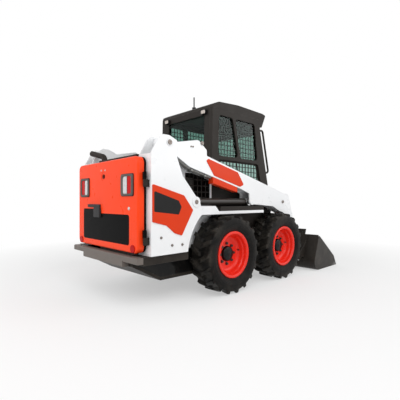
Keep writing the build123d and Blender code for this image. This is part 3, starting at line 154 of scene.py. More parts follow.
# Door: pairs are lengths down the door and out from it
DOOR_DEPTH = 0.034
DOOR_FACE, DOOR_TOP_DROP = 0.035, 0.010
WIPER_PIVOT = (0.030, 0.020)
WIPER_ARM, WIPER_ASIDE = 0.300, 0.060
WIPER_BLADE = (-0.24, -0.12, 0.0, 0.12, 0.24)
WIPER_RADIUS = 0.006
WIPER_CAP = ((0.022, 0.0), (0.022, 0.018), (0.014, 0.028), (TIP, 0.030))
GRIP = ((0.52, 0.0), (0.53, 0.035), (0.56, 0.045), (0.68, 0.045), (0.71, 0.035), (0.72, 0.0))
GRIP_Y = -0.355
GRIP_RADIUS = 0.009

# Seat
BACK_RUN = 0.030  # run of the back's slope
PAD_RISE, PAD_HALF = 0.058, 0.056
BACK_FOOT = 0.12
BACK_AHEAD, BACK_HALF = 0.044, 0.052

FLOOR_REACH = 60.0
FLOOR_LINES = 25


def colour(name, words, value):
    """A colour that a user may change, in linear light."""
    return FloatVectorProperty(
        name=name, description=words, subtype="COLOR", size=3, min=0, max=1, default=value
    )


def number(name, words, value, **kind):
    """A number that a user may change; kind holds its unit or limit."""
    return FloatProperty(name=name, description=words, default=value, **kind)


def length(name, words, value):
    """A length that a user may change, in metres."""
    return number(name, words, value, subtype="DISTANCE", unit="LENGTH", min=0)


class LoaderPaint(bpy.types.PropertyGroup):
    """Colours of the loader's finishes."""

    body_white: colour("Body white", "Paint of the towers, bay sides and lift arms", (0.86, 0.87, 0.88))
    gate_red: colour("Tailgate red", "Bright orange red paint of the tailgate", (0.96, 0.060, 0.009))
    rim_red: colour("Rim red", "Paint of the wheel rims", (0.84, 0.026, 0.012))
    panel_red: colour("Panel red", "Paint of the side and arm panels", (0.70, 0.045, 0.008))
    cab_black: colour("Cab black", "Satin paint of the cab, steps and bucket", (0.024, 0.020, 0.017))
    bumper_grey: colour("Bumper grey", "Paint of the rear bumper", (0.150, 0.130, 0.116))
    rubber: colour("Rubber", "Tyres", (0.0055, 0.0050, 0.0046))
    glass_tint: colour("Glass tint", "Green tint of the cab windows", (0.31, 0.47, 0.42))
    dust: colour("Dust", "Fine dust on low surfaces", (0.30, 0.26, 0.21))


class LoaderSizes(bpy.types.PropertyGroup):
    """Sizes of the small fittings."""

    lug_count: IntProperty(name="Lugs", description="Lugs in each of a tyre's two rows", min=8, default=18)
    lug_lean: number("Lug lean", "Run along the tread for each step across it", 0.52)
    lug_length: length("Lug length", "Length of a lug across the tread", 0.120)
    lug_width: length("Lug width", "Width of a lug's top", 0.038)
    wire_radius: length("Wire radius", "Radius of the mesh wires in the side windows", 0.005)
    wire_pitch: length("Wire pitch", "Distance between the mesh wires", 0.050)
    line_radius: length("Line radius", "Radius of the steel lines under the arms", 0.010)
    nut_count: IntProperty(name="Wheel nuts", description="Nuts on each wheel", min=3, default=8)
    nut_circle: length("Nut circle", "Diameter of the circle that the wheel nuts stand on", 0.2032)
    nut_width: length("Nut width", "Width of a wheel nut across its flats", 0.024)
    nut_height: length("Nut height", "Height of a wheel nut", 0.018)
    pin_radius: length("Pin radius", "Radius of a pin's head", 0.022)
    pin_height: length("Pin height", "Height of a pin's head", 0.010)
    bolt_width: length("Bolt width", "Width of a small bolt's head across its flats", 0.018)
    bolt_height: length("Bolt height", "Height of a small bolt's head", 0.008)
    pad_crown: length("Pad crown", "Rise of the seat pad at its middle", 0.012)


class LoaderStage(bpy.types.PropertyGroup):
    """Camera and lights."""

    lens: number("Lens", "Focal length on a 36 mm sensor", 29.09, unit="CAMERA")
    camera_place: FloatVectorProperty(
        name="Camera", description="Place of the camera", subtype="TRANSLATION",
        default=(-2.997, -2.741, 0.901),
    )
    camera_yaw: number("Yaw", "Direction the camera looks in", math.radians(46.13), subtype="ANGLE")
    camera_shift: number("Shift", "Upward shift of the picture", 0.00325)
    key_power: number("Key light", "Power of the main soft light", 185, unit="POWER")
    fill_power: number("Fill light", "Power of the side lights", 105, unit="POWER")
    sky: number("Sky", "Strength of the even light from all round", 0.52, min=0)


# Places in the frame

def side_of(wheel):
    """One for a left wheel, minus one for a right wheel."""
    return 1.0 if wheel.endswith("left") else -1.0


def rim_middle(wheel):
    """Middle of a wheel's rim."""
    low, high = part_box(f"rim_{wheel}")
    return (low + high) / 2


def finish_of(node):
    """Material that a solid of the loader has."""
    return frame["nodes"][node].data.materials[0]


# Shader building

def feed(node, inputs):
    """Gives a node's inputs their values: constants, or other nodes' sockets."""
    for name, value in inputs.items():
        if isinstance(value, bpy.types.NodeSocket):
            node.id_data.links.new(value, node.inputs[name])
        else:
            node.inputs[name].default_value = value


def knot(tree, kind, inputs=None, **settings):
    """Adds one shader node with its settings and inputs."""
    made = tree.nodes.new(kind)
    for name, value in settings.items():
        setattr(made, name, value)
    feed(made, inputs or {})
    return made


def calc(tree, operation, first, second=0.0):
    """Result of one Math node."""
    return knot(tree, "ShaderNodeMath", {0: first, 1: second}, operation=operation).outputs[0]


def times(tree, first, second):
    """Product of two values."""
    return calc(tree, "MULTIPLY", first, second)


def size_of(tree, vector):
    """Length of a vector."""
    return knot(tree, "ShaderNodeVectorMath", {0: vector}, operation="LENGTH").outputs["Value"]


def noise(tree, coords, scale, detail=2.0, rough=0.5):
    """Grey value of a fractal noise on the given coordinates."""
    inputs = {"Vector": coords, "Scale": scale, "Detail": detail, "Roughness": rough}
    return knot(tree, "ShaderNodeTexNoise", inputs).outputs[0]


def spread(tree, value, low, high, to_low=0.0, to_high=1.0):
    """Maps a value's range onto another range, clamped at both ends."""
    inputs = {0: value, 1: low, 2: high, 3: to_low, 4: to_high}
    return knot(tree, "ShaderNodeMapRange", inputs).outputs[0]


def mixed(tree, share, first, second):
    """Blend of two colours by a share."""
    return knot(tree, "ShaderNodeMix", {0: share, 6: first, 7: second}, data_type="RGBA").outputs[2]


def solid(rgb, share=1.0):
    """A colour as red, green, blue, alpha, made darker by a share."""
    return (rgb[0] * share, rgb[1] * share, rgb[2] * share, 1.0)


def bare_tree(owner):
    """Empty shader tree of a material or a world."""
    owner.use_nodes = True
    owner.node_tree.nodes.clear()
    return owner.node_tree


def blank(name):
    """A material with its tree, principled shader and object coordinates."""
    made = bpy.data.materials.new(name)
    tree = bare_tree(made)
    shader = knot(tree, "ShaderNodeBsdfPrincipled")
    knot(tree, "ShaderNodeOutputMaterial", {"Surface": shader.outputs[0]})
    return made, tree, shader, knot(tree, "ShaderNodeTexCoord").outputs["Object"]


def eased_normal(tree, radius):
    """Normal with the edges rounded by a radius."""
    return knot(tree, "ShaderNodeBevel", {"Radius": radius}, samples=4).outputs[0]


def relief(tree, shader, height, strength, distance, edge=0.0):
    """Bump from a height value, over edges that are rounded by the given radius."""
    inputs = {"Strength": strength, "Distance": distance, "Height": height}
    if edge:
        inputs["Normal"] = eased_normal(tree, edge)
    feed(shader, {"Normal": knot(tree, "ShaderNodeBump", inputs).outputs[0]})


def rounded_box(tree, place, low, high, corner):
    """One inside a box with round corners: no further from its inner box than the corners' radius."""
    beyond = []
    for value, least, most in zip(place, low, high):
        away = calc(tree, "ABSOLUTE", calc(tree, "SUBTRACT", value, (least + most) / 2))
        beyond.append(calc(tree, "MAXIMUM", calc(tree, "SUBTRACT", away, (most - least) / 2 - corner)))
    flat = knot(tree, "ShaderNodeCombineXYZ", {0: beyond[0], 1: beyond[1]}).outputs[0]
    return calc(tree, "LESS_THAN", size_of(tree, flat), corner)


def worn_edges(tree, coords, radius):
    """Share of bare edge: where the rounded normal leaves the true one, broken up by noise."""
    normals = {0: eased_normal(tree, radius), 1: knot(tree, "ShaderNodeNewGeometry").outputs["True Normal"]}
    turn = knot(tree, "ShaderNodeVectorMath", normals, operation="DOT_PRODUCT").outputs["Value"]
    edge = spread(tree, turn, 0.98, 0.80)
    broken = spread(tree, noise(tree, coords, 22.0, 4.0, 0.65), 0.50, 0.62)
    return times(tree, edge, broken)


def paint(name, rgb, rough, coat, dusty=0.0, wear=0.0, sheen=0.5, mark=None, mark_rgb=INK, mark_sheen=None):
    """Sprayed paint: slow tone patches, dust that fades with height, orange peel and soft edges.

    mark gives the share of a second colour from the tree and its split coordinates, and mark_sheen is the
    sheen of that colour.
    """
    made, tree, shader, coords = blank(name)
    parts = knot(tree, "ShaderNodeSeparateXYZ", {0: coords}).outputs
    patch = spread(tree, noise(tree, coords, 2.6, 3.0), 0.35, 0.70)
    tone = mixed(tree, patch, solid(rgb, 0.95), solid(rgb))
    if mark:
        share = mark(tree, coords, parts)
        tone = mixed(tree, share, tone, solid(mark_rgb))
        if mark_sheen is not None:
            sheen = spread(tree, share, 0.0, 1.0, sheen, mark_sheen)
    if wear:
        edge = times(tree, worn_edges(tree, coords, 0.006), wear)
        tone = mixed(tree, edge, tone, solid(BARE_STEEL))
    if dusty:
        low = spread(tree, parts[2], 0.05, 0.75, dusty, 0.0)
        speck = spread(tree, noise(tree, coords, 7.0, 6.0, 0.6), 0.45, 0.75)
        dust = solid(bpy.context.scene.loader_paint.dust)
        tone = mixed(tree, times(tree, low, speck), tone, dust)
    feed(shader, {
        "Base Color": tone,
        "Roughness": spread(tree, noise(tree, coords, 11.0, 3.0), 0.3, 0.7, rough - 0.03, rough + 0.05),
        "Specular IOR Level": sheen,
        "Coat Weight": coat,
        "Coat Roughness": 0.06,
    })
    relief(tree, shader, noise(tree, coords, 260.0, 1.0), 0.05, 0.001, 0.004)
    return made


def plastic(name, rgb, rough, grain=420.0):
    """Moulded plastic with a fine grain."""
    made, tree, shader, coords = blank(name)
    patch = spread(tree, noise(tree, coords, 5.0), 0.3, 0.7)
    feed(shader, {
        "Base Color": mixed(tree, patch, solid(rgb, 0.8), solid(rgb)),
        "Roughness": spread(tree, noise(tree, coords, 30.0), 0.3, 0.7, rough - 0.07, rough + 0.07),
        "Specular IOR Level": 0.10,
    })
    relief(tree, shader, noise(tree, coords, grain, 2.0), 0.12, 0.001, 0.002)
    return made


def metal(name, rgb, rough, streak=(8.0, 60.0, 60.0)):
    """Bare metal with fine streaks in its sheen."""
    made, tree, shader, coords = blank(name)
    scaled = knot(tree, "ShaderNodeMapping", {"Vector": coords, "Scale": streak}).outputs[0]
    lines = noise(tree, scaled, 12.0, 4.0)
    feed(shader, {
        "Base Color": mixed(tree, lines, solid(rgb, 0.82), solid(rgb)),
        "Roughness": spread(tree, lines, 0.3, 0.7, rough, rough + 0.12),
        "Metallic": 1.0,
    })
    relief(tree, shader, lines, 0.04, 0.001, 0.002)
    return made


def lens(name, rgb, see_through):
    """Lamp lens: clear or dyed plastic with moulded prisms across it."""
    made, tree, shader, coords = blank(name)
    inputs = {"Vector": coords, "Scale": 28.0, "Distortion": 0.0}
    ribs = knot(tree, "ShaderNodeTexWave", inputs, bands_direction="Z").outputs[1]
    feed(shader, {
        "Base Color": mixed(tree, ribs, solid(rgb, 0.78), solid(rgb)),
        "Roughness": 0.12,
        "Transmission Weight": see_through,
        "Specular IOR Level": 0.08,
    })
    relief(tree, shader, ribs, 0.35, 0.002)
    return made


def window_glass(name):
    """Tinted safety glass with a faint film of dust."""
    tint = bpy.context.scene.loader_paint.glass_tint
    made, tree, shader, coords = blank(name)
    film = spread(tree, noise(tree, coords, 6.0, 5.0), 0.45, 0.75)
    feed(shader, {
        "Base Color": mixed(tree, film, solid(tint), solid(tint, 0.88)),
        "Roughness": spread(tree, film, 0.0, 1.0, 0.01, 0.07),
        "Transmission Weight": 1.0,
        "IOR": 1.20,
    })
    return made


def tyre_rubber(name, wheel):
    """Tyre rubber: rings moulded into the side wall by distance from the axle, dust on the tread."""
    shades = bpy.context.scene.loader_paint
    made, tree, shader, coords = blank(name)
    away, _ = from_axle(tree, coords, wheel)
    rings = calc(tree, "SINE", times(tree, away, 2 * math.pi / 0.013))
    wall = times(tree, calc(tree, "GREATER_THAN", away, 0.245), calc(tree, "LESS_THAN", away, 0.292))
    rings = times(tree, rings, wall)
    crumb = noise(tree, coords, 240.0, 3.0)
    height = calc(tree, "ADD", rings, times(tree, crumb, 0.25))
    speck = spread(tree, noise(tree, coords, 9.0, 6.0, 0.65), 0.42, 0.72, 0.0, 0.16)
    dusty = times(tree, speck, spread(tree, away, 0.30, 0.38, 0.25, 1.0))
    feed(shader, {
        "Base Color": mixed(tree, dusty, solid(shades.rubber), solid(shades.dust)),
        "Roughness": spread(tree, crumb, 0.3, 0.7, 0.38, 0.55),
        "Specular IOR Level": 0.10,
    })
    relief(tree, shader, height, 0.45, 0.002, 0.003)
    return made


def from_axle(tree, coords, wheel):
    """Distance from a wheel's axle and place along it, from object coordinates."""
    inputs = {0: coords, 1: rim_middle(wheel)}
    moved = knot(tree, "ShaderNodeVectorMath", inputs, operation="SUBTRACT").outputs[0]
    parts = knot(tree, "ShaderNodeSeparateXYZ", {0: moved}).outputs
    flat = knot(tree, "ShaderNodeCombineXYZ", {0: parts[0], 2: parts[2]}).outputs[0]
    return size_of(tree, flat), parts[1]


def hub_mark(wheel):
    """Black hub cap on a wheel's rim: nearer the axle than the cap's edge and outside the disc."""
    def mark(tree, coords, parts):
        away, along = from_axle(tree, coords, wheel)
        out = times(tree, along, side_of(wheel))
        outside = calc(tree, "GREATER_THAN", out, DISC_FACE + PAINT_STEP)
        return times(tree, outside, calc(tree, "LESS_THAN", away, HUB_RADIUS))

    return mark


def gate_mark(tree, coords, parts):
    """Plain black panel on the tailgate's lower half, a black band round its front rim that is painted shade
    of the gap between tailgate and towers, and black hinges.
    """
    low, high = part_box("tailgate")
    back = calc(tree, "LESS_THAN", parts[0], low[0] + GATE_PANEL_DEPTH)
    boxes = [rounded_box(tree, (parts[1], parts[2]), *box, GATE_PANEL_CORNER) for box in GATE_PANELS]
    panel = times(tree, back, calc(tree, "MAXIMUM", *boxes))
    # Painted shade: a black band along the tailgate's front rim stands for the shadowed gap next to the
    # towers
    gap_shade = calc(tree, "GREATER_THAN", parts[0], high[0] - GATE_GAP_SHADE)
    hinge = calc(tree, "LESS_THAN", parts[1], -high[1] - PAINT_STEP)
    return calc(tree, "MAXIMUM", panel, calc(tree, "MAXIMUM", gap_shade, hinge))


def lamp_mark(tree, coords, parts):
    """Pale lens on the front of each work lamp."""
    return calc(tree, "GREATER_THAN", parts[0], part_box("work_lamps")[1][0] - 0.006)


def low_mark(tree, coords, parts):
    """Black paint on the bay sides below the rails."""
    return calc(tree, "LESS_THAN", parts[2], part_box("rear_rails")[1][2])


def lip_mark(tree, coords, parts):
    """Bare steel rubbed along the bucket's cutting edge and floor."""
    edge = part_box("bucket")[1][0]
    rub = spread(tree, parts[0], edge - 0.16, edge - 0.02)
    low = spread(tree, parts[2], 0.01, 0.06, 1.0, 0.0)
    scratch = spread(tree, noise(tree, coords, 40.0, 5.0), 0.40, 0.60, 0.25, 1.0)
    return times(tree, times(tree, rub, low), scratch)


# Surfaces

def quads(rows, columns, wrap, closed=False):
    """Faces of a grid of points: each joins a point with the next along and the next across."""
    along = np.arange(rows if closed else rows - 1)[:, None]
    across = np.arange(columns if wrap else columns - 1)[None, :]
    following = (across + 1) % columns
    further = (along + 1) % rows
    corners = (along * columns + across, along * columns + following,
               further * columns + following, further * columns + across)
    return np.stack(np.broadcast_arrays(*corners), axis=-1).reshape(-1, 4)


def gather(grids):
    """One list of points and faces from several (points, faces) surfaces."""
    starts = np.cumsum([0] + [len(points) for points, _ in grids[:-1]])
    points = np.concatenate([points for points, _ in grids])
    faces = np.concatenate([faces + start for (_, faces), start in zip(grids, starts)])
    return points, faces


def shown(name, surface, material, smooth):
    """Object with a mesh of points and four-cornered faces, and one finish."""
    points, faces = surface
    mesh = bpy.data.meshes.new(name)
    mesh.from_pydata(points.tolist(), [], faces.tolist(), shade_flat=not smooth)
    mesh.validate()
    mesh.materials.append(material)
    made = bpy.data.objects.new(name, mesh)
    bpy.context.scene.collection.objects.link(made)
    return made


def piece(name, surface, body, material, smooth=True):
    """Shows a surface and lets it ride on a body."""
    made = shown(name, surface, material, smooth)
    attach(made, body)
    return made


def around(axis, angles):
    """Directions square to an axis, one for each angle about it."""
    axis = np.asarray(axis, float)
    side = np.cross((0.0, 0.0, 1.0) if abs(axis[2]) < 0.9 else (1.0, 0.0, 0.0), axis)
    side /= np.linalg.norm(side)
    return np.cos(angles)[:, None] * side + np.sin(angles)[:, None] * np.cross(axis, side)


def nut(centre, axis, across, height, washer=0.65, bore=0.0):
    """Nut or bolt head on a washer.

    The radius at angle a is half / cos(((a mod 60) - 30) degrees), which is a six-sided outline, and
    the top row takes the smaller of it and a circle, which is the chamfer. Rows go up the profile.
    """
    angles = np.radians(np.arange(0, 360, 15.0))
    half = across / 2
    hexagon = half / np.cos(np.radians(np.degrees(angles) % 60 - 30))
    ring = np.ones_like(angles)
    thin, chamfer, dip = 0.14 * height, 0.86 * height, 0.72 * height
    middle = 0.02 * half
    rows = [
        (ring * across * washer, 0.0),
        (ring * across * washer, thin),
        (hexagon, thin),
        (hexagon, chamfer),
        (np.minimum(hexagon, half * 1.02), height),
        (ring * max(bore, half * 0.5), height),
        (ring * max(bore, middle), dip if bore else height),
    ]
    if bore:
        rows.append((ring * middle, dip))
    radius = np.stack([row[0] for row in rows])[..., None]
    rise = np.array([row[1] for row in rows])[:, None, None]
    points = np.asarray(centre, float) + radius * around(axis, angles) + rise * np.asarray(axis, float)
    return points.reshape(-1, 3), quads(len(rows), len(angles), True)


def turned(centre, axis, profile, sides=32):
    """Surface turned about an axis: the point at angle a and profile row (radius, rise)."""
    angles = np.linspace(0, 2 * np.pi, sides, endpoint=False)
    profile = np.asarray(profile, float)
    radius, rise = profile[:, None, None, 0], profile[:, None, None, 1]
    points = np.asarray(centre, float) + radius * around(axis, angles) + rise * np.asarray(axis, float)
    return points.reshape(-1, 3), quads(len(profile), sides, True)


def carried(path, radius, sides=10):
    """Round profile carried along a path: each ring stands square to the path's mean direction there."""
    path = np.asarray(path, float)
    ahead = np.gradient(path, axis=0)
    ahead /= np.linalg.norm(ahead, axis=1)[:, None]
    guide = np.array((0.0, 0.0, 1.0)) if abs(ahead[:, 2]).max() < 0.95 else np.array((0.0, 1.0, 0.0))
    side = np.cross(ahead, guide)
    side /= np.linalg.norm(side, axis=1)[:, None]
    up = np.cross(side, ahead)
    angles = np.linspace(0, 2 * np.pi, sides, endpoint=False)
    ring = np.cos(angles)[None, :, None] * side[:, None] + np.sin(angles)[None, :, None] * up[:, None]
    points = path[:, None] + radius * ring
    return points.reshape(-1, 3), quads(len(path), sides, True)


def bent(value, power):
    """A value to a power, with its sign kept."""
    return np.sign(value) * np.abs(value) ** power


def crowned(centre, half, turn, crown, roundness=0.30, rows=40, columns=64):
    """Crowned pad: a closed form x = a s(cos u) s(cos v), y = b s(cos u) s(sin v), z = c s(sin u).

    s(t) is t to the power of the roundness with its sign, u goes from pole to pole and v all round. The upper
    side rises by the crown times (1 - (x/a)^2)(1 - (y/b)^2), less where a sewn channel runs across.
    """
    u = np.linspace(-np.pi / 2, np.pi / 2, rows)[:, None]
    v = np.linspace(-np.pi, np.pi, columns, endpoint=False)[None, :]
    x = bent(np.cos(u), roundness) * bent(np.cos(v), roundness)
    y = bent(np.cos(u), roundness) * bent(np.sin(v), roundness)
    z = bent(np.sin(u), roundness) + 0 * v
    top = np.clip(z, 0, 1)
    channel = np.exp(-((np.abs(y) - 0.45) / 0.05) ** 2)
    rise = crown * top * ((1 - x**2) * (1 - y**2) - 0.5 * channel * (1 - x**6))
    points = np.stack([x * half[0], y * half[1], z * half[2] + rise], axis=-1)
    lean = np.array(Matrix.Rotation(turn, 3, "Y"))
    points = points @ lean.T + np.asarray(centre, float)
    return points.reshape(-1, 3), quads(rows, columns, True)


def soft_box(centre, half, roundness, turn=0.0, rows=12, columns=24):
    """Block with round edges: the pad's form x, y, z = a, b, c times s(t), without its crown."""
    return crowned(centre, half, turn, 0.0, roundness, rows, columns)


def bezel(centre, outer, inner, rise, roundness=0.22, sides=48):
    """Raised frame on a rear face: loops y = a s(cos v), z = b s(sin v).

    The loops go from the outer foot over the top to the inner foot, and s(t) is t to the power of the
    roundness with its sign.
    """
    v = np.linspace(0, 2 * np.pi, sides, endpoint=False)
    across, up = bent(np.cos(v), roundness), bent(np.sin(v), roundness)
    soft = 0.25 * rise
    rows = ((outer, 0.0, 0.0), (outer, 0.0, rise - soft), (outer, -soft, rise),
            (inner, soft, rise), (inner, 0.0, rise - soft), (inner, 0.0, 0.0))
    points = [
        np.stack([np.full(sides, -high), (half[0] + more) * across, (half[1] + more) * up], axis=-1)
        for half, more, high in rows
    ]
    return np.concatenate(points) + np.asarray(centre, float), quads(len(rows), sides, True)


def tyre_section(half_width, radius, seat, seat_half, flange):
    """Half of a tyre's section, across and out from bore to crown, and the row where its lugs start.

    The side wall swells as a quarter sine to its full width and has two thin raised rings, the shoulder is
    a quarter ellipse, and the tread is level.
    """
    carcass = radius - LUG_HEIGHT
    edge, shoulder = half_width - WALL_INSET, radius - SHOULDER_DROP
    bore = np.array([(0.0, seat), (0.5 * seat_half, seat), (seat_half, seat)])
    out = np.linspace(0, 1, 26)
    away = flange + out * (shoulder - flange)
    swell = np.sin(np.clip(out / WIDEST, 0, 1) * np.pi / 2)
    pulled_in = WALL_INSET * np.clip((out - WIDEST) / (1 - WIDEST), 0, 1) ** 2
    across = seat_half + (half_width - seat_half) * swell - pulled_in
    for height, distance, width in WALL_RINGS:
        across = across + height * np.exp(-(((away - flange - distance) / width) ** 2))
    wall = np.stack([across, away], axis=-1)
    bend = np.radians((9, 18, 27, 36, 45, 60, 75, 90))
    tread_edge = half_width - TREAD_INSET
    round_edge = np.stack([tread_edge + (edge - tread_edge) * np.cos(bend),
                           shoulder + (carcass - shoulder) * np.sin(bend)], axis=-1)
    flat = np.array([(share * tread_edge, carcass) for share in (0.85, 0.6, 0.35, 0.15, 0.037, 0.0)])
    return np.concatenate([bore, wall, round_edge, flat]), len(bore) + len(wall)


def lug_section(section, first, half_width, radius, length):
    """The section through a lug: level on top out to the lug's length, and down to the wall at its end."""
    raised = section.copy()
    top = radius - LUG_CLEARANCE
    foot = half_width - LUG_END_INSET
    edge, level = first + LUG_ROWS, first + 2 * LUG_ROWS
    share = np.linspace(0, 1, LUG_ROWS + 1)[1:]
    raised[first:edge, 0] = foot - share * (foot - length)
    raised[first:edge, 1] = section[first, 1] + share * (top - section[first, 1])
    raised[edge:level, 0] = length + share * (section[level - 1, 0] - length)
    raised[edge:, 1] = top
    return raised


def tyre_surface(centre, side, half_width, radius, rim, sizes):
    """Tyre: a closed section carried round its axle and raised to its lugs.

    The point at section row t and angle a is C(t) + m (D(t) - C(t)), turned about the axle by a, where C is
    the carcass's section, D the section through a lug, and m one on a lug and nought between lugs, by the
    distance from the nearest lug's middle line. A row's angles are shifted by lean (length / 2 - y) / radius,
    so that the grid's lines run along the slanted walls, and the second row of lugs lies half a pitch on.
    """
    section, first = tyre_section(half_width, radius, *rim)
    raised = lug_section(section, first, half_width, radius, sizes.lug_length)
    crown = len(section) - 1
    order = np.concatenate([np.arange(crown + 1), np.arange(crown - 1, 0, -1)])
    sign = np.where(np.arange(len(order)) <= crown, 1.0, -1.0)
    on_tread = order >= first
    across = np.where(on_tread, np.minimum(raised[order, 0], sizes.lug_length), sizes.lug_length)
    shift = sizes.lug_lean * (sizes.lug_length / 2 - across) / radius
    pitch = 2 * np.pi / sizes.lug_count
    half_top = sizes.lug_width / 2
    half_gap = pitch * radius / 4
    levels = half_top + np.array([-0.0025, 0.0, 0.0035, 0.0055])
    steps = np.concatenate([[0, half_top - 0.010], levels])
    steps = np.concatenate([steps, [half_gap], 2 * half_gap - steps[:0:-1]])
    turns = (np.arange(2 * sizes.lug_count)[:, None] * pitch / 2 + steps / radius).ravel()
    place = turns % pitch
    second = np.minimum(place, pitch - place) * radius
    main = np.abs(place - pitch / 2) * radius
    main, second = (np.interp(gap, levels, (1.0, 0.96, 0.05, 0.0)) for gap in (main, second))
    share = np.where(sign[:, None] > 0, main, second)
    share = np.where((order == crown)[:, None], np.maximum(main, second), share) * on_tread[:, None]
    blend = section[order][:, None] + share[..., None] * (raised - section)[order][:, None]
    angle = turns[None, :] - shift[:, None]
    points = np.stack([
        centre[0] - blend[..., 1] * np.sin(angle),
        centre[1] + side * sign[:, None] * blend[..., 0],
        centre[2] - blend[..., 1] * np.cos(angle),
    ], axis=-1)
    faces = quads(len(order), len(turns), True, True)
    return points.reshape(-1, 3), faces if side > 0 else faces[:, ::-1]


# Operators

class LOADER_OT_finishes(bpy.types.Operator):
    """Gives every solid of the loader its finish"""

    bl_idname = "loader.finishes"
    bl_label = "Finishes"

    def execute(self, context):
        shades = context.scene.loader_paint
        white, black = shades.body_white, shades.cab_black
        slots = {
            "white_paint": paint("body_white", white, 0.30, 0.25, 0.05),
            "black_paint": paint("cab_black", black, 0.45, 0.0, 0.10, 0.30, 0.12),
            "grey_paint": paint("bumper_grey", shades.bumper_grey, 0.48, 0.0, 0.12, 0.30, 0.25),
            "red_paint": paint("panel_red", shades.panel_red, 0.32, 0.05, sheen=0.12),
            "black_plastic": plastic("black_plastic", (0.020, 0.020, 0.020), 0.45),
            "engine_iron": metal("engine_iron", (0.16, 0.15, 0.14), 0.55),
            "bracket_steel": plastic("bracket_grey", (0.035, 0.035, 0.036), 0.40),
            "cylinder_paint": paint("cylinder_black", black, 0.32, 0.0, 0.05, sheen=0.35),
            "rod_chrome": metal("rod_chrome", (0.80, 0.80, 0.80), 0.10, (60.0, 8.0, 60.0)),
            "seat_cover": plastic("seat_vinyl", (0.020, 0.020, 0.021), 0.55, 300.0),
            "window_glass": window_glass("window_glass"),
            "lens_red": lens("lens_red", (0.58, 0.006, 0.006), 0.0),
            "lens_clear": lens("lens_clear", (0.82, 0.82, 0.82), 0.15),
        }
        single = {
            "tailgate": paint("gate_red", shades.gate_red, 0.30, 0.03, 0.01, 0.0, 0.14, gate_mark, INK, 0.02),
            "bay_sides": paint("bay_white", white, 0.30, 0.20, 0.06, mark=low_mark, mark_sheen=0.10),
            "bucket": paint("bucket_black", black, 0.45, 0.0, 0.10, 0.4, 0.20, lip_mark, BARE_STEEL),
            "work_lamps": paint("lamp_black", black, 0.40, 0.0, mark=lamp_mark, mark_rgb=LAMP_PALE),
            "reflectors": lens("reflector_red", (0.50, 0.006, 0.006), 0.0),
        }
        for wheel in WHEELS:
            single[f"tyre_{wheel}"] = tyre_rubber(f"rubber_{wheel}", wheel)
            single[f"rim_{wheel}"] = paint(
                f"rim_{wheel}", shades.rim_red, 0.28, 0.08, sheen=0.25, mark=hub_mark(wheel), mark_sheen=0.15
            )
        for row in frame["record"]["subparts"]:
            target = frame["nodes"][row["node"]].data
            target.materials.clear()
            target.materials.append(single.get(row["node"]) or slots[row["material_slot"]])
        return {"FINISHED"}


class LOADER_OT_tyres(bpy.types.Operator):
    """Puts tyres with slanted lugs in the place of the plain ones"""

    bl_idname = "loader.tyres"
    bl_label = "Tyres"

    def execute(self, context):
        sizes = context.scene.loader_sizes
        for wheel in WHEELS:
            low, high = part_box(f"tyre_{wheel}")
            rim_low, rim_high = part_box(f"rim_{wheel}")
            flange = (rim_high[2] - rim_low[2]) / 2
            rim = (flange - FLANGE_HEIGHT, SEAT_HALF, flange + FLANGE_GAP)
            half_width, radius = (high[1] - low[1]) / 2, (high[2] - low[2]) / 2
            surface = tyre_surface((low + high) / 2, side_of(wheel), half_width, radius, rim, sizes)
            rubber = finish_of(f"tyre_{wheel}")
            made = piece(f"lugged_tyre_{wheel}", surface, f"wheel_{wheel}", rubber)
            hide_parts(f"tyre_{wheel}")
        return {"FINISHED"}


class LOADER_OT_rims(bpy.types.Operator):
    """Puts rims with rolled flanges and a stepped barrel in the place of the plain ones"""

    bl_idname = "loader.rims"
    bl_label = "Rims"

    def execute(self, context):
        for wheel in WHEELS:
            surface = turned(rim_middle(wheel), (0, side_of(wheel), 0), RIM_SECTION, RIM_TURNS)
            red = finish_of(f"rim_{wheel}")
            made = piece(f"stepped_rim_{wheel}", surface, f"wheel_{wheel}", red)
            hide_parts(f"rim_{wheel}")
        return {"FINISHED"}


class LOADER_OT_wheel_nuts(bpy.types.Operator):
    """Adds the ring of nuts and the valve on each wheel"""

    bl_idname = "loader.wheel_nuts"
    bl_label = "Wheel nuts"

    def execute(self, context):
        sizes = context.scene.loader_sizes
        steel = metal("nut_steel", (0.10, 0.09, 0.085), 0.35)
        ring = sizes.nut_circle / 2
        turns = np.arange(sizes.nut_count) * 2 * np.pi / sizes.nut_count
        for wheel in WHEELS:
            x, y, z = rim_middle(wheel)
            outside = (0, side_of(wheel), 0)
            face = y + side_of(wheel) * DISC_FACE
            places = [(x + ring * np.cos(turn), face, z + ring * np.sin(turn)) for turn in turns]
            size = (sizes.nut_width, sizes.nut_height, NUT_WASHER, NUT_BORE)
            nuts = [nut(place, outside, *size) for place in places]
            nuts.append(turned((x + VALVE_AHEAD, face, z + VALVE_RISE), outside, VALVE_STEM, 12))
            piece(f"wheel_nuts_{wheel}", gather(nuts), f"wheel_{wheel}", steel, False)
        return {"FINISHED"}


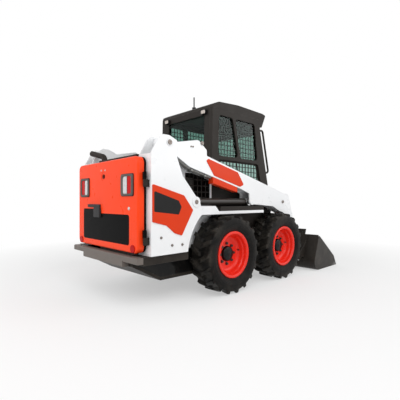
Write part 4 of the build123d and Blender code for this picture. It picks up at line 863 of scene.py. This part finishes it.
class LOADER_OT_pin_bolts(bpy.types.Operator):
    """Adds the heads of the lift pins and the small bolts on each side"""

    bl_idname = "loader.pin_bolts"
    bl_label = "Pins and bolts"

    def execute(self, context):
        sizes = context.scene.loader_sizes
        steel = metal("pin_steel", (0.24, 0.21, 0.19), 0.36)
        arm_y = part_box("arms")[1][1] - ARM_SUNK
        tower_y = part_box("side_panels")[1][1] - TOWER_SUNK
        small = sizes.bolt_width * ARM_BOLT_SHARE
        on_arms = self.heads(arm_y, ARM_PINS, ARM_BOLTS, small)
        on_towers = self.heads(tower_y, TOWER_PINS, TOWER_BOLTS, sizes.bolt_width)
        piece("arm_pins", gather(on_arms), "arms", steel, False)
        piece("tower_pins", gather(on_towers), "chassis", steel, False)
        return {"FINISHED"}

    def heads(self, y, pins, bolts, width):
        """Pin and bolt heads at the same places on both sides."""
        height = bpy.context.scene.loader_sizes.bolt_height
        made = []
        for side in SIDES:
            outside = (0, side, 0)
            made += [self.pin((x, side * y, z), outside, share) for x, z, share in pins]
            made += [nut((x, side * y, z), outside, width, height) for x, z in bolts]
        return made

    def pin(self, centre, axis, share):
        """Round pin head with a bevelled rim and a shallow dimple."""
        sizes = bpy.context.scene.loader_sizes
        radius, height = sizes.pin_radius * share, sizes.pin_height
        crest = height * 1.3
        rows = [(radius, 0.0), (radius, height), (radius * 0.85, crest), (radius * 0.45, crest),
                (radius * 0.30, height), (TIP, height)]
        return turned(centre, axis, rows, 24)


class LOADER_OT_arm_lines(bpy.types.Operator):
    """Adds the steel oil lines and their clamps under each arm"""

    bl_idname = "loader.arm_lines"
    bl_label = "Arm lines"

    def execute(self, context):
        radius = context.scene.loader_sizes.line_radius
        steel = metal("line_steel", (0.20, 0.20, 0.19), 0.30)
        middle = sum(LINE_PLACES) / 2
        surfaces = []
        for side in SIDES:
            for y in LINE_PLACES:
                run = np.array([(x, side * y, z - 1.3 * radius) for x, z in LINE_RUN])
                surfaces.append(carried(self.eased(run), radius))
            for x, z in CLAMPS:
                centre = (x, side * middle, z - 1.6 * radius)
                surfaces.append(soft_box(centre, CLAMP_HALF, 0.2, CLAMP_LEAN, 8, 16))
        piece("arm_lines", gather(surfaces), "arms", steel)
        return {"FINISHED"}

    def eased(self, run):
        """Path through three points, its corner eased by the curve a (1-t)^2 + 2 b t (1-t) + c t^2."""
        t = np.linspace(0, 1, 9)[:, None]
        first = run[1] + 0.25 * (run[0] - run[1])
        last = run[1] + 0.15 * (run[2] - run[1])
        curve = first * (1 - t) ** 2 + 2 * run[1] * t * (1 - t) + last * t**2
        return np.concatenate([run[:1], curve, run[2:]])


class LOADER_OT_window_mesh(bpy.types.Operator):
    """Adds the wire mesh inside the cab's upper side windows"""

    bl_idname = "loader.window_mesh"
    bl_label = "Window mesh"

    def execute(self, context):
        sizes = context.scene.loader_sizes
        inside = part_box("cab_grilles")[1][1] - WIRE_INSET
        wires = []
        for window in SIDE_WINDOWS:
            for x_first, x_last, z_first, z_last in self.lines(window, sizes.wire_pitch):
                for side in SIDES:
                    ends = [(x_first, side * inside, z_first), (x_last, side * inside, z_last)]
                    wires.append(carried(ends, sizes.wire_radius, 6))
        piece("window_mesh", gather(wires), "chassis", finish_of("cab_grilles"))
        return {"FINISHED"}

    def lines(self, window, pitch):
        """Upright wires x = k p and level wires z = k p, cut off at the window's sides x = a + b z."""
        (low_rear, low_front, low), (high_rear, high_front, high) = window
        z = np.linspace(low, high, 216)
        rear = np.interp(z, (low, high), (low_rear, high_rear))
        front = np.interp(z, (low, high), (low_front, high_front))
        for x in np.arange(rear.min() + pitch / 2, front.max(), pitch):
            held = z[(rear < x) & (x < front)]
            yield x, x, held[0] - WIRE_SUNK, held[-1] + WIRE_SUNK
        for level in np.arange(low + pitch / 2, high, pitch):
            yield np.interp(level, z, rear) - WIRE_SUNK, np.interp(level, z, front) + WIRE_SUNK, level, level


class LOADER_OT_rear_lamps(bpy.types.Operator):
    """Adds the two work lamps high on the cab's back"""

    bl_idname = "loader.rear_lamps"
    bl_label = "Rear lamps"

    def execute(self, context):
        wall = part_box("cab_roof")[0][0]
        black = plastic("lamp_body_black", (0.010, 0.010, 0.010), 0.45)
        clear = lens("lamp_lens_pale", (0.74, 0.66, 0.60), 0.10)
        bodies, panes = [], []
        for side in SIDES:
            y = side * REAR_LAMP_OUT
            bodies.append(soft_box((wall - 0.012, y, REAR_LAMP_Z), (0.018, 0.036, 0.024), 0.18))
            panes.append(soft_box((wall - 0.028, y, REAR_LAMP_Z), (0.005, 0.029, 0.018), 0.25))
        piece("rear_lamps", gather(bodies), "chassis", black)
        piece("rear_lamp_lenses", gather(panes), "chassis", clear)
        return {"FINISHED"}


class LOADER_OT_gate_fittings(bpy.types.Operator):
    """Adds the tailgate's lock, screws and lamp frames, and the bar and block of its bracket"""

    bl_idname = "loader.gate_fittings"
    bl_label = "Tailgate fittings"

    def execute(self, context):
        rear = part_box("tailgate")[0][0]
        black = plastic("fitting_black", (0.006, 0.006, 0.006), 0.4)
        lock = turned((rear, *LOCK_PLACE), REARWARD, LOCK_RING)
        piece("gate_lock", lock, "tailgate", black)
        heads = [nut((rear, y, z), REARWARD, width, SCREW_HEIGHT) for y, z, width in GATE_SCREWS]
        pale = metal("screw_steel", (0.66, 0.64, 0.62), 0.35)
        piece("gate_screws", gather(heads), "tailgate", pale, False)
        grey = plastic("bezel_grey", (0.115, 0.105, 0.098), 0.45)
        piece("lamp_bezels", gather(self.bezels()), "tailgate", grey)
        bar = soft_box((rear - 0.006, 0.193, 0.859), (0.009, 0.123, 0.014), 0.12)
        block = soft_box((rear - 0.008, 0.123, 0.798), (0.012, 0.058, 0.047), 0.10)
        steel = finish_of("plate_bracket")
        bracket = piece("bar_bracket", gather([bar, block]), "tailgate", steel)
        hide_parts("plate_bracket")
        return {"FINISHED"}

    def bezels(self):
        """Frames round the two lamps."""
        low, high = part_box("lamp_housings")
        inner_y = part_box("lamp_clear")[1][1]
        width = 2 * (high[1] - inner_y) - 0.007
        outer = (width / 2 - BEZEL_INSET, (high[2] - low[2]) / 2 - BEZEL_INSET)
        places = [(low[0] + 0.002, side * (high[1] - width / 2), (low[2] + high[2]) / 2) for side in SIDES]
        return [bezel(place, outer, BEZEL_HOLE, BEZEL_RISE) for place in places]


class LOADER_OT_door_fittings(bpy.types.Operator):
    """Adds the door's wiper and pull handle"""

    bl_idname = "loader.door_fittings"
    bl_label = "Door fittings"

    def execute(self, context):
        low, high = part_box("door_frame")
        black = plastic("wiper_black", (0.008, 0.008, 0.008), 0.45)
        lean = math.atan2(high[0] - low[0] - DOOR_DEPTH, high[2] - low[2])
        out = np.array((math.cos(lean), 0.0, math.sin(lean)))
        down = np.array((math.sin(lean), 0.0, -math.cos(lean)))
        top = np.array((low[0] + DOOR_FACE, 0.0, high[2] - DOOR_TOP_DROP))
        pivot = top + WIPER_PIVOT[0] * down + WIPER_PIVOT[1] * out
        tip = pivot + WIPER_ARM * down + np.array((0.0, WIPER_ASIDE, 0.0))
        blade = np.stack([tip + reach * down for reach in WIPER_BLADE])
        hold = top + np.array((0.0, GRIP_Y, 0.0))
        grip = np.stack([hold + reach * down + rise * out for reach, rise in GRIP])
        surfaces = [
            carried(np.stack([pivot, (pivot + tip) / 2 + WIPER_RADIUS * out, tip]), WIPER_RADIUS, 8),
            carried(blade - 0.004 * out, WIPER_RADIUS, 8),
            carried(grip, GRIP_RADIUS, 10),
            turned(pivot - 0.022 * out, out, WIPER_CAP, 20),
        ]
        piece("door_fittings", gather(surfaces), "door", black)
        return {"FINISHED"}


class LOADER_OT_seat(bpy.types.Operator):
    """Puts crowned pads in the place of the plain seat"""

    bl_idname = "loader.seat"
    bl_label = "Seat"

    def execute(self, context):
        crown = context.scene.loader_sizes.pad_crown
        low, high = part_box("seat")
        vinyl = finish_of("seat")
        back_x = low[0] + BACK_RUN
        half_y = (high[1] - low[1]) / 2
        pad_half = ((high[0] - back_x) / 2, half_y, PAD_HALF)
        pad = crowned(((back_x + high[0]) / 2, 0, low[2] + PAD_RISE), pad_half, 0, crown)
        tall = high[2] - low[2] - BACK_FOOT
        upright = math.pi / 2 - math.atan2(BACK_RUN, tall)
        back_middle = (back_x + BACK_AHEAD, 0, low[2] + BACK_FOOT + tall / 2)
        back = crowned(back_middle, (tall / 2, half_y, BACK_HALF), upright, crown)
        cushion = piece("seat_cushion", pad, "chassis", vinyl)
        rest = piece("seat_back", back, "chassis", vinyl)
        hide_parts("seat")
        return {"FINISHED"}


class LOADER_OT_stage(bpy.types.Operator):
    """Sets the floor, the lights and the camera"""

    bl_idname = "loader.stage"
    bl_label = "Stage"

    def execute(self, context):
        scene = context.scene
        settings = scene.loader_stage
        scene.view_settings.view_transform = "Standard"
        self.floor()
        self.world(settings.sky)
        self.light("key_light", (-3.2, -4.6, 5.2), (-0.2, 0.0, 0.6), settings.key_power, 4.5)
        self.light("fill_light", (-6.0, 1.5, 3.0), (-0.4, 0.0, 0.8), settings.fill_power, 4.0)
        self.light("far_light", (3.5, -5.0, 3.5), (0.2, 0.0, 0.7), settings.fill_power, 4.0)
        view = bpy.data.cameras.new("camera")
        view.lens = settings.lens
        view.sensor_width = 36.0
        view.shift_y = settings.camera_shift
        holder = bpy.data.objects.new("camera", view)
        holder.location = settings.camera_place
        holder.rotation_euler = (math.pi / 2, 0, settings.camera_yaw - math.pi / 2)
        scene.collection.objects.link(holder)
        scene.camera = holder
        return {"FINISHED"}

    def floor(self):
        """Flat square floor; pale, and plain white to the camera far from the loader."""
        reach = np.linspace(-FLOOR_REACH, FLOOR_REACH, FLOOR_LINES)
        x, y = np.meshgrid(reach, reach, indexing="ij")
        points = np.stack([x, y, np.zeros_like(x)], axis=-1).reshape(-1, 3)
        faces = quads(FLOOR_LINES, FLOOR_LINES, False)[:, ::-1]
        material = bpy.data.materials.new("pale_floor")
        tree = bare_tree(material)
        away = size_of(tree, knot(tree, "ShaderNodeTexCoord").outputs["Object"])
        matt = knot(tree, "ShaderNodeBsdfDiffuse", {"Color": (0.90, 0.90, 0.90, 1.0)}).outputs[0]
        glow = knot(tree, "ShaderNodeEmission", {"Color": WHITE, "Strength": 1.0}).outputs[0]
        share = times(tree, spread(tree, away, 2.2, 4.6, 0.45, 1.0), self.seen(tree))
        both = knot(tree, "ShaderNodeMixShader", {0: share, 1: matt, 2: glow}).outputs[0]
        knot(tree, "ShaderNodeOutputMaterial", {"Surface": both})
        made = shown("floor", (points, faces), material, False)

    def seen(self, tree):
        """One for rays from the camera, and for those mirrored or let through."""
        path = knot(tree, "ShaderNodeLightPath").outputs
        first = calc(tree, "MAXIMUM", path["Is Camera Ray"], path["Is Glossy Ray"])
        return calc(tree, "MAXIMUM", first, path["Is Transmission Ray"])

    def world(self, strength):
        """Even light from all round, white where it is seen."""
        made = bpy.data.worlds.new("studio")
        tree = bare_tree(made)
        dim = knot(tree, "ShaderNodeBackground", {"Color": WHITE, "Strength": strength}).outputs[0]
        bright = knot(tree, "ShaderNodeBackground", {"Color": WHITE, "Strength": 1.0}).outputs[0]
        both = knot(tree, "ShaderNodeMixShader", {0: self.seen(tree), 1: dim, 2: bright}).outputs[0]
        knot(tree, "ShaderNodeOutputWorld", {"Surface": both})
        bpy.context.scene.world = made

    def light(self, name, place, aim, power, size):
        """Square soft light at a place, turned towards its aim."""
        lamp = bpy.data.lights.new(name, "AREA")
        lamp.energy = power
        lamp.size = size
        holder = bpy.data.objects.new(name, lamp)
        holder.location = place
        holder.rotation_euler = (Vector(aim) - Vector(place)).to_track_quat("-Z", "Y").to_euler()
        bpy.context.scene.collection.objects.link(holder)


class LOADER_PT_looks(bpy.types.Panel):
    """Lists the loader's steps and settings"""

    bl_idname = "LOADER_PT_looks"
    bl_label = "Loader looks"
    bl_space_type = "VIEW_3D"
    bl_region_type = "UI"
    bl_category = "Loader"

    def draw(self, context):
        for step in STEPS:
            self.layout.operator(step.bl_idname)
        for group in (context.scene.loader_paint, context.scene.loader_sizes, context.scene.loader_stage):
            for name in group.__annotations__:
                self.layout.prop(group, name)


GROUPS = (LoaderPaint, LoaderSizes, LoaderStage)
STEPS = (
    LOADER_OT_finishes, LOADER_OT_tyres, LOADER_OT_rims, LOADER_OT_wheel_nuts, LOADER_OT_pin_bolts,
    LOADER_OT_arm_lines, LOADER_OT_window_mesh, LOADER_OT_rear_lamps, LOADER_OT_gate_fittings,
    LOADER_OT_door_fittings, LOADER_OT_seat, LOADER_OT_stage,
)


def register():
    for made in (*GROUPS, *STEPS, LOADER_PT_looks):
        bpy.utils.register_class(made)
    bpy.types.Scene.loader_paint = PointerProperty(type=LoaderPaint)
    bpy.types.Scene.loader_sizes = PointerProperty(type=LoaderSizes)
    bpy.types.Scene.loader_stage = PointerProperty(type=LoaderStage)


def unregister():
    del bpy.types.Scene.loader_stage
    del bpy.types.Scene.loader_sizes
    del bpy.types.Scene.loader_paint
    for made in reversed((*GROUPS, *STEPS, LOADER_PT_looks)):
        bpy.utils.unregister_class(made)


def main():
    register()
    bpy.ops.loader.finishes()
    bpy.ops.loader.tyres()
    bpy.ops.loader.rims()
    bpy.ops.loader.wheel_nuts()
    bpy.ops.loader.pin_bolts()
    bpy.ops.loader.arm_lines()
    bpy.ops.loader.window_mesh()
    bpy.ops.loader.rear_lamps()
    bpy.ops.loader.gate_fittings()
    bpy.ops.loader.door_fittings()
    bpy.ops.loader.seat()
    bpy.ops.loader.stage()
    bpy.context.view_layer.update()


if __name__ == "__main__":
    main()
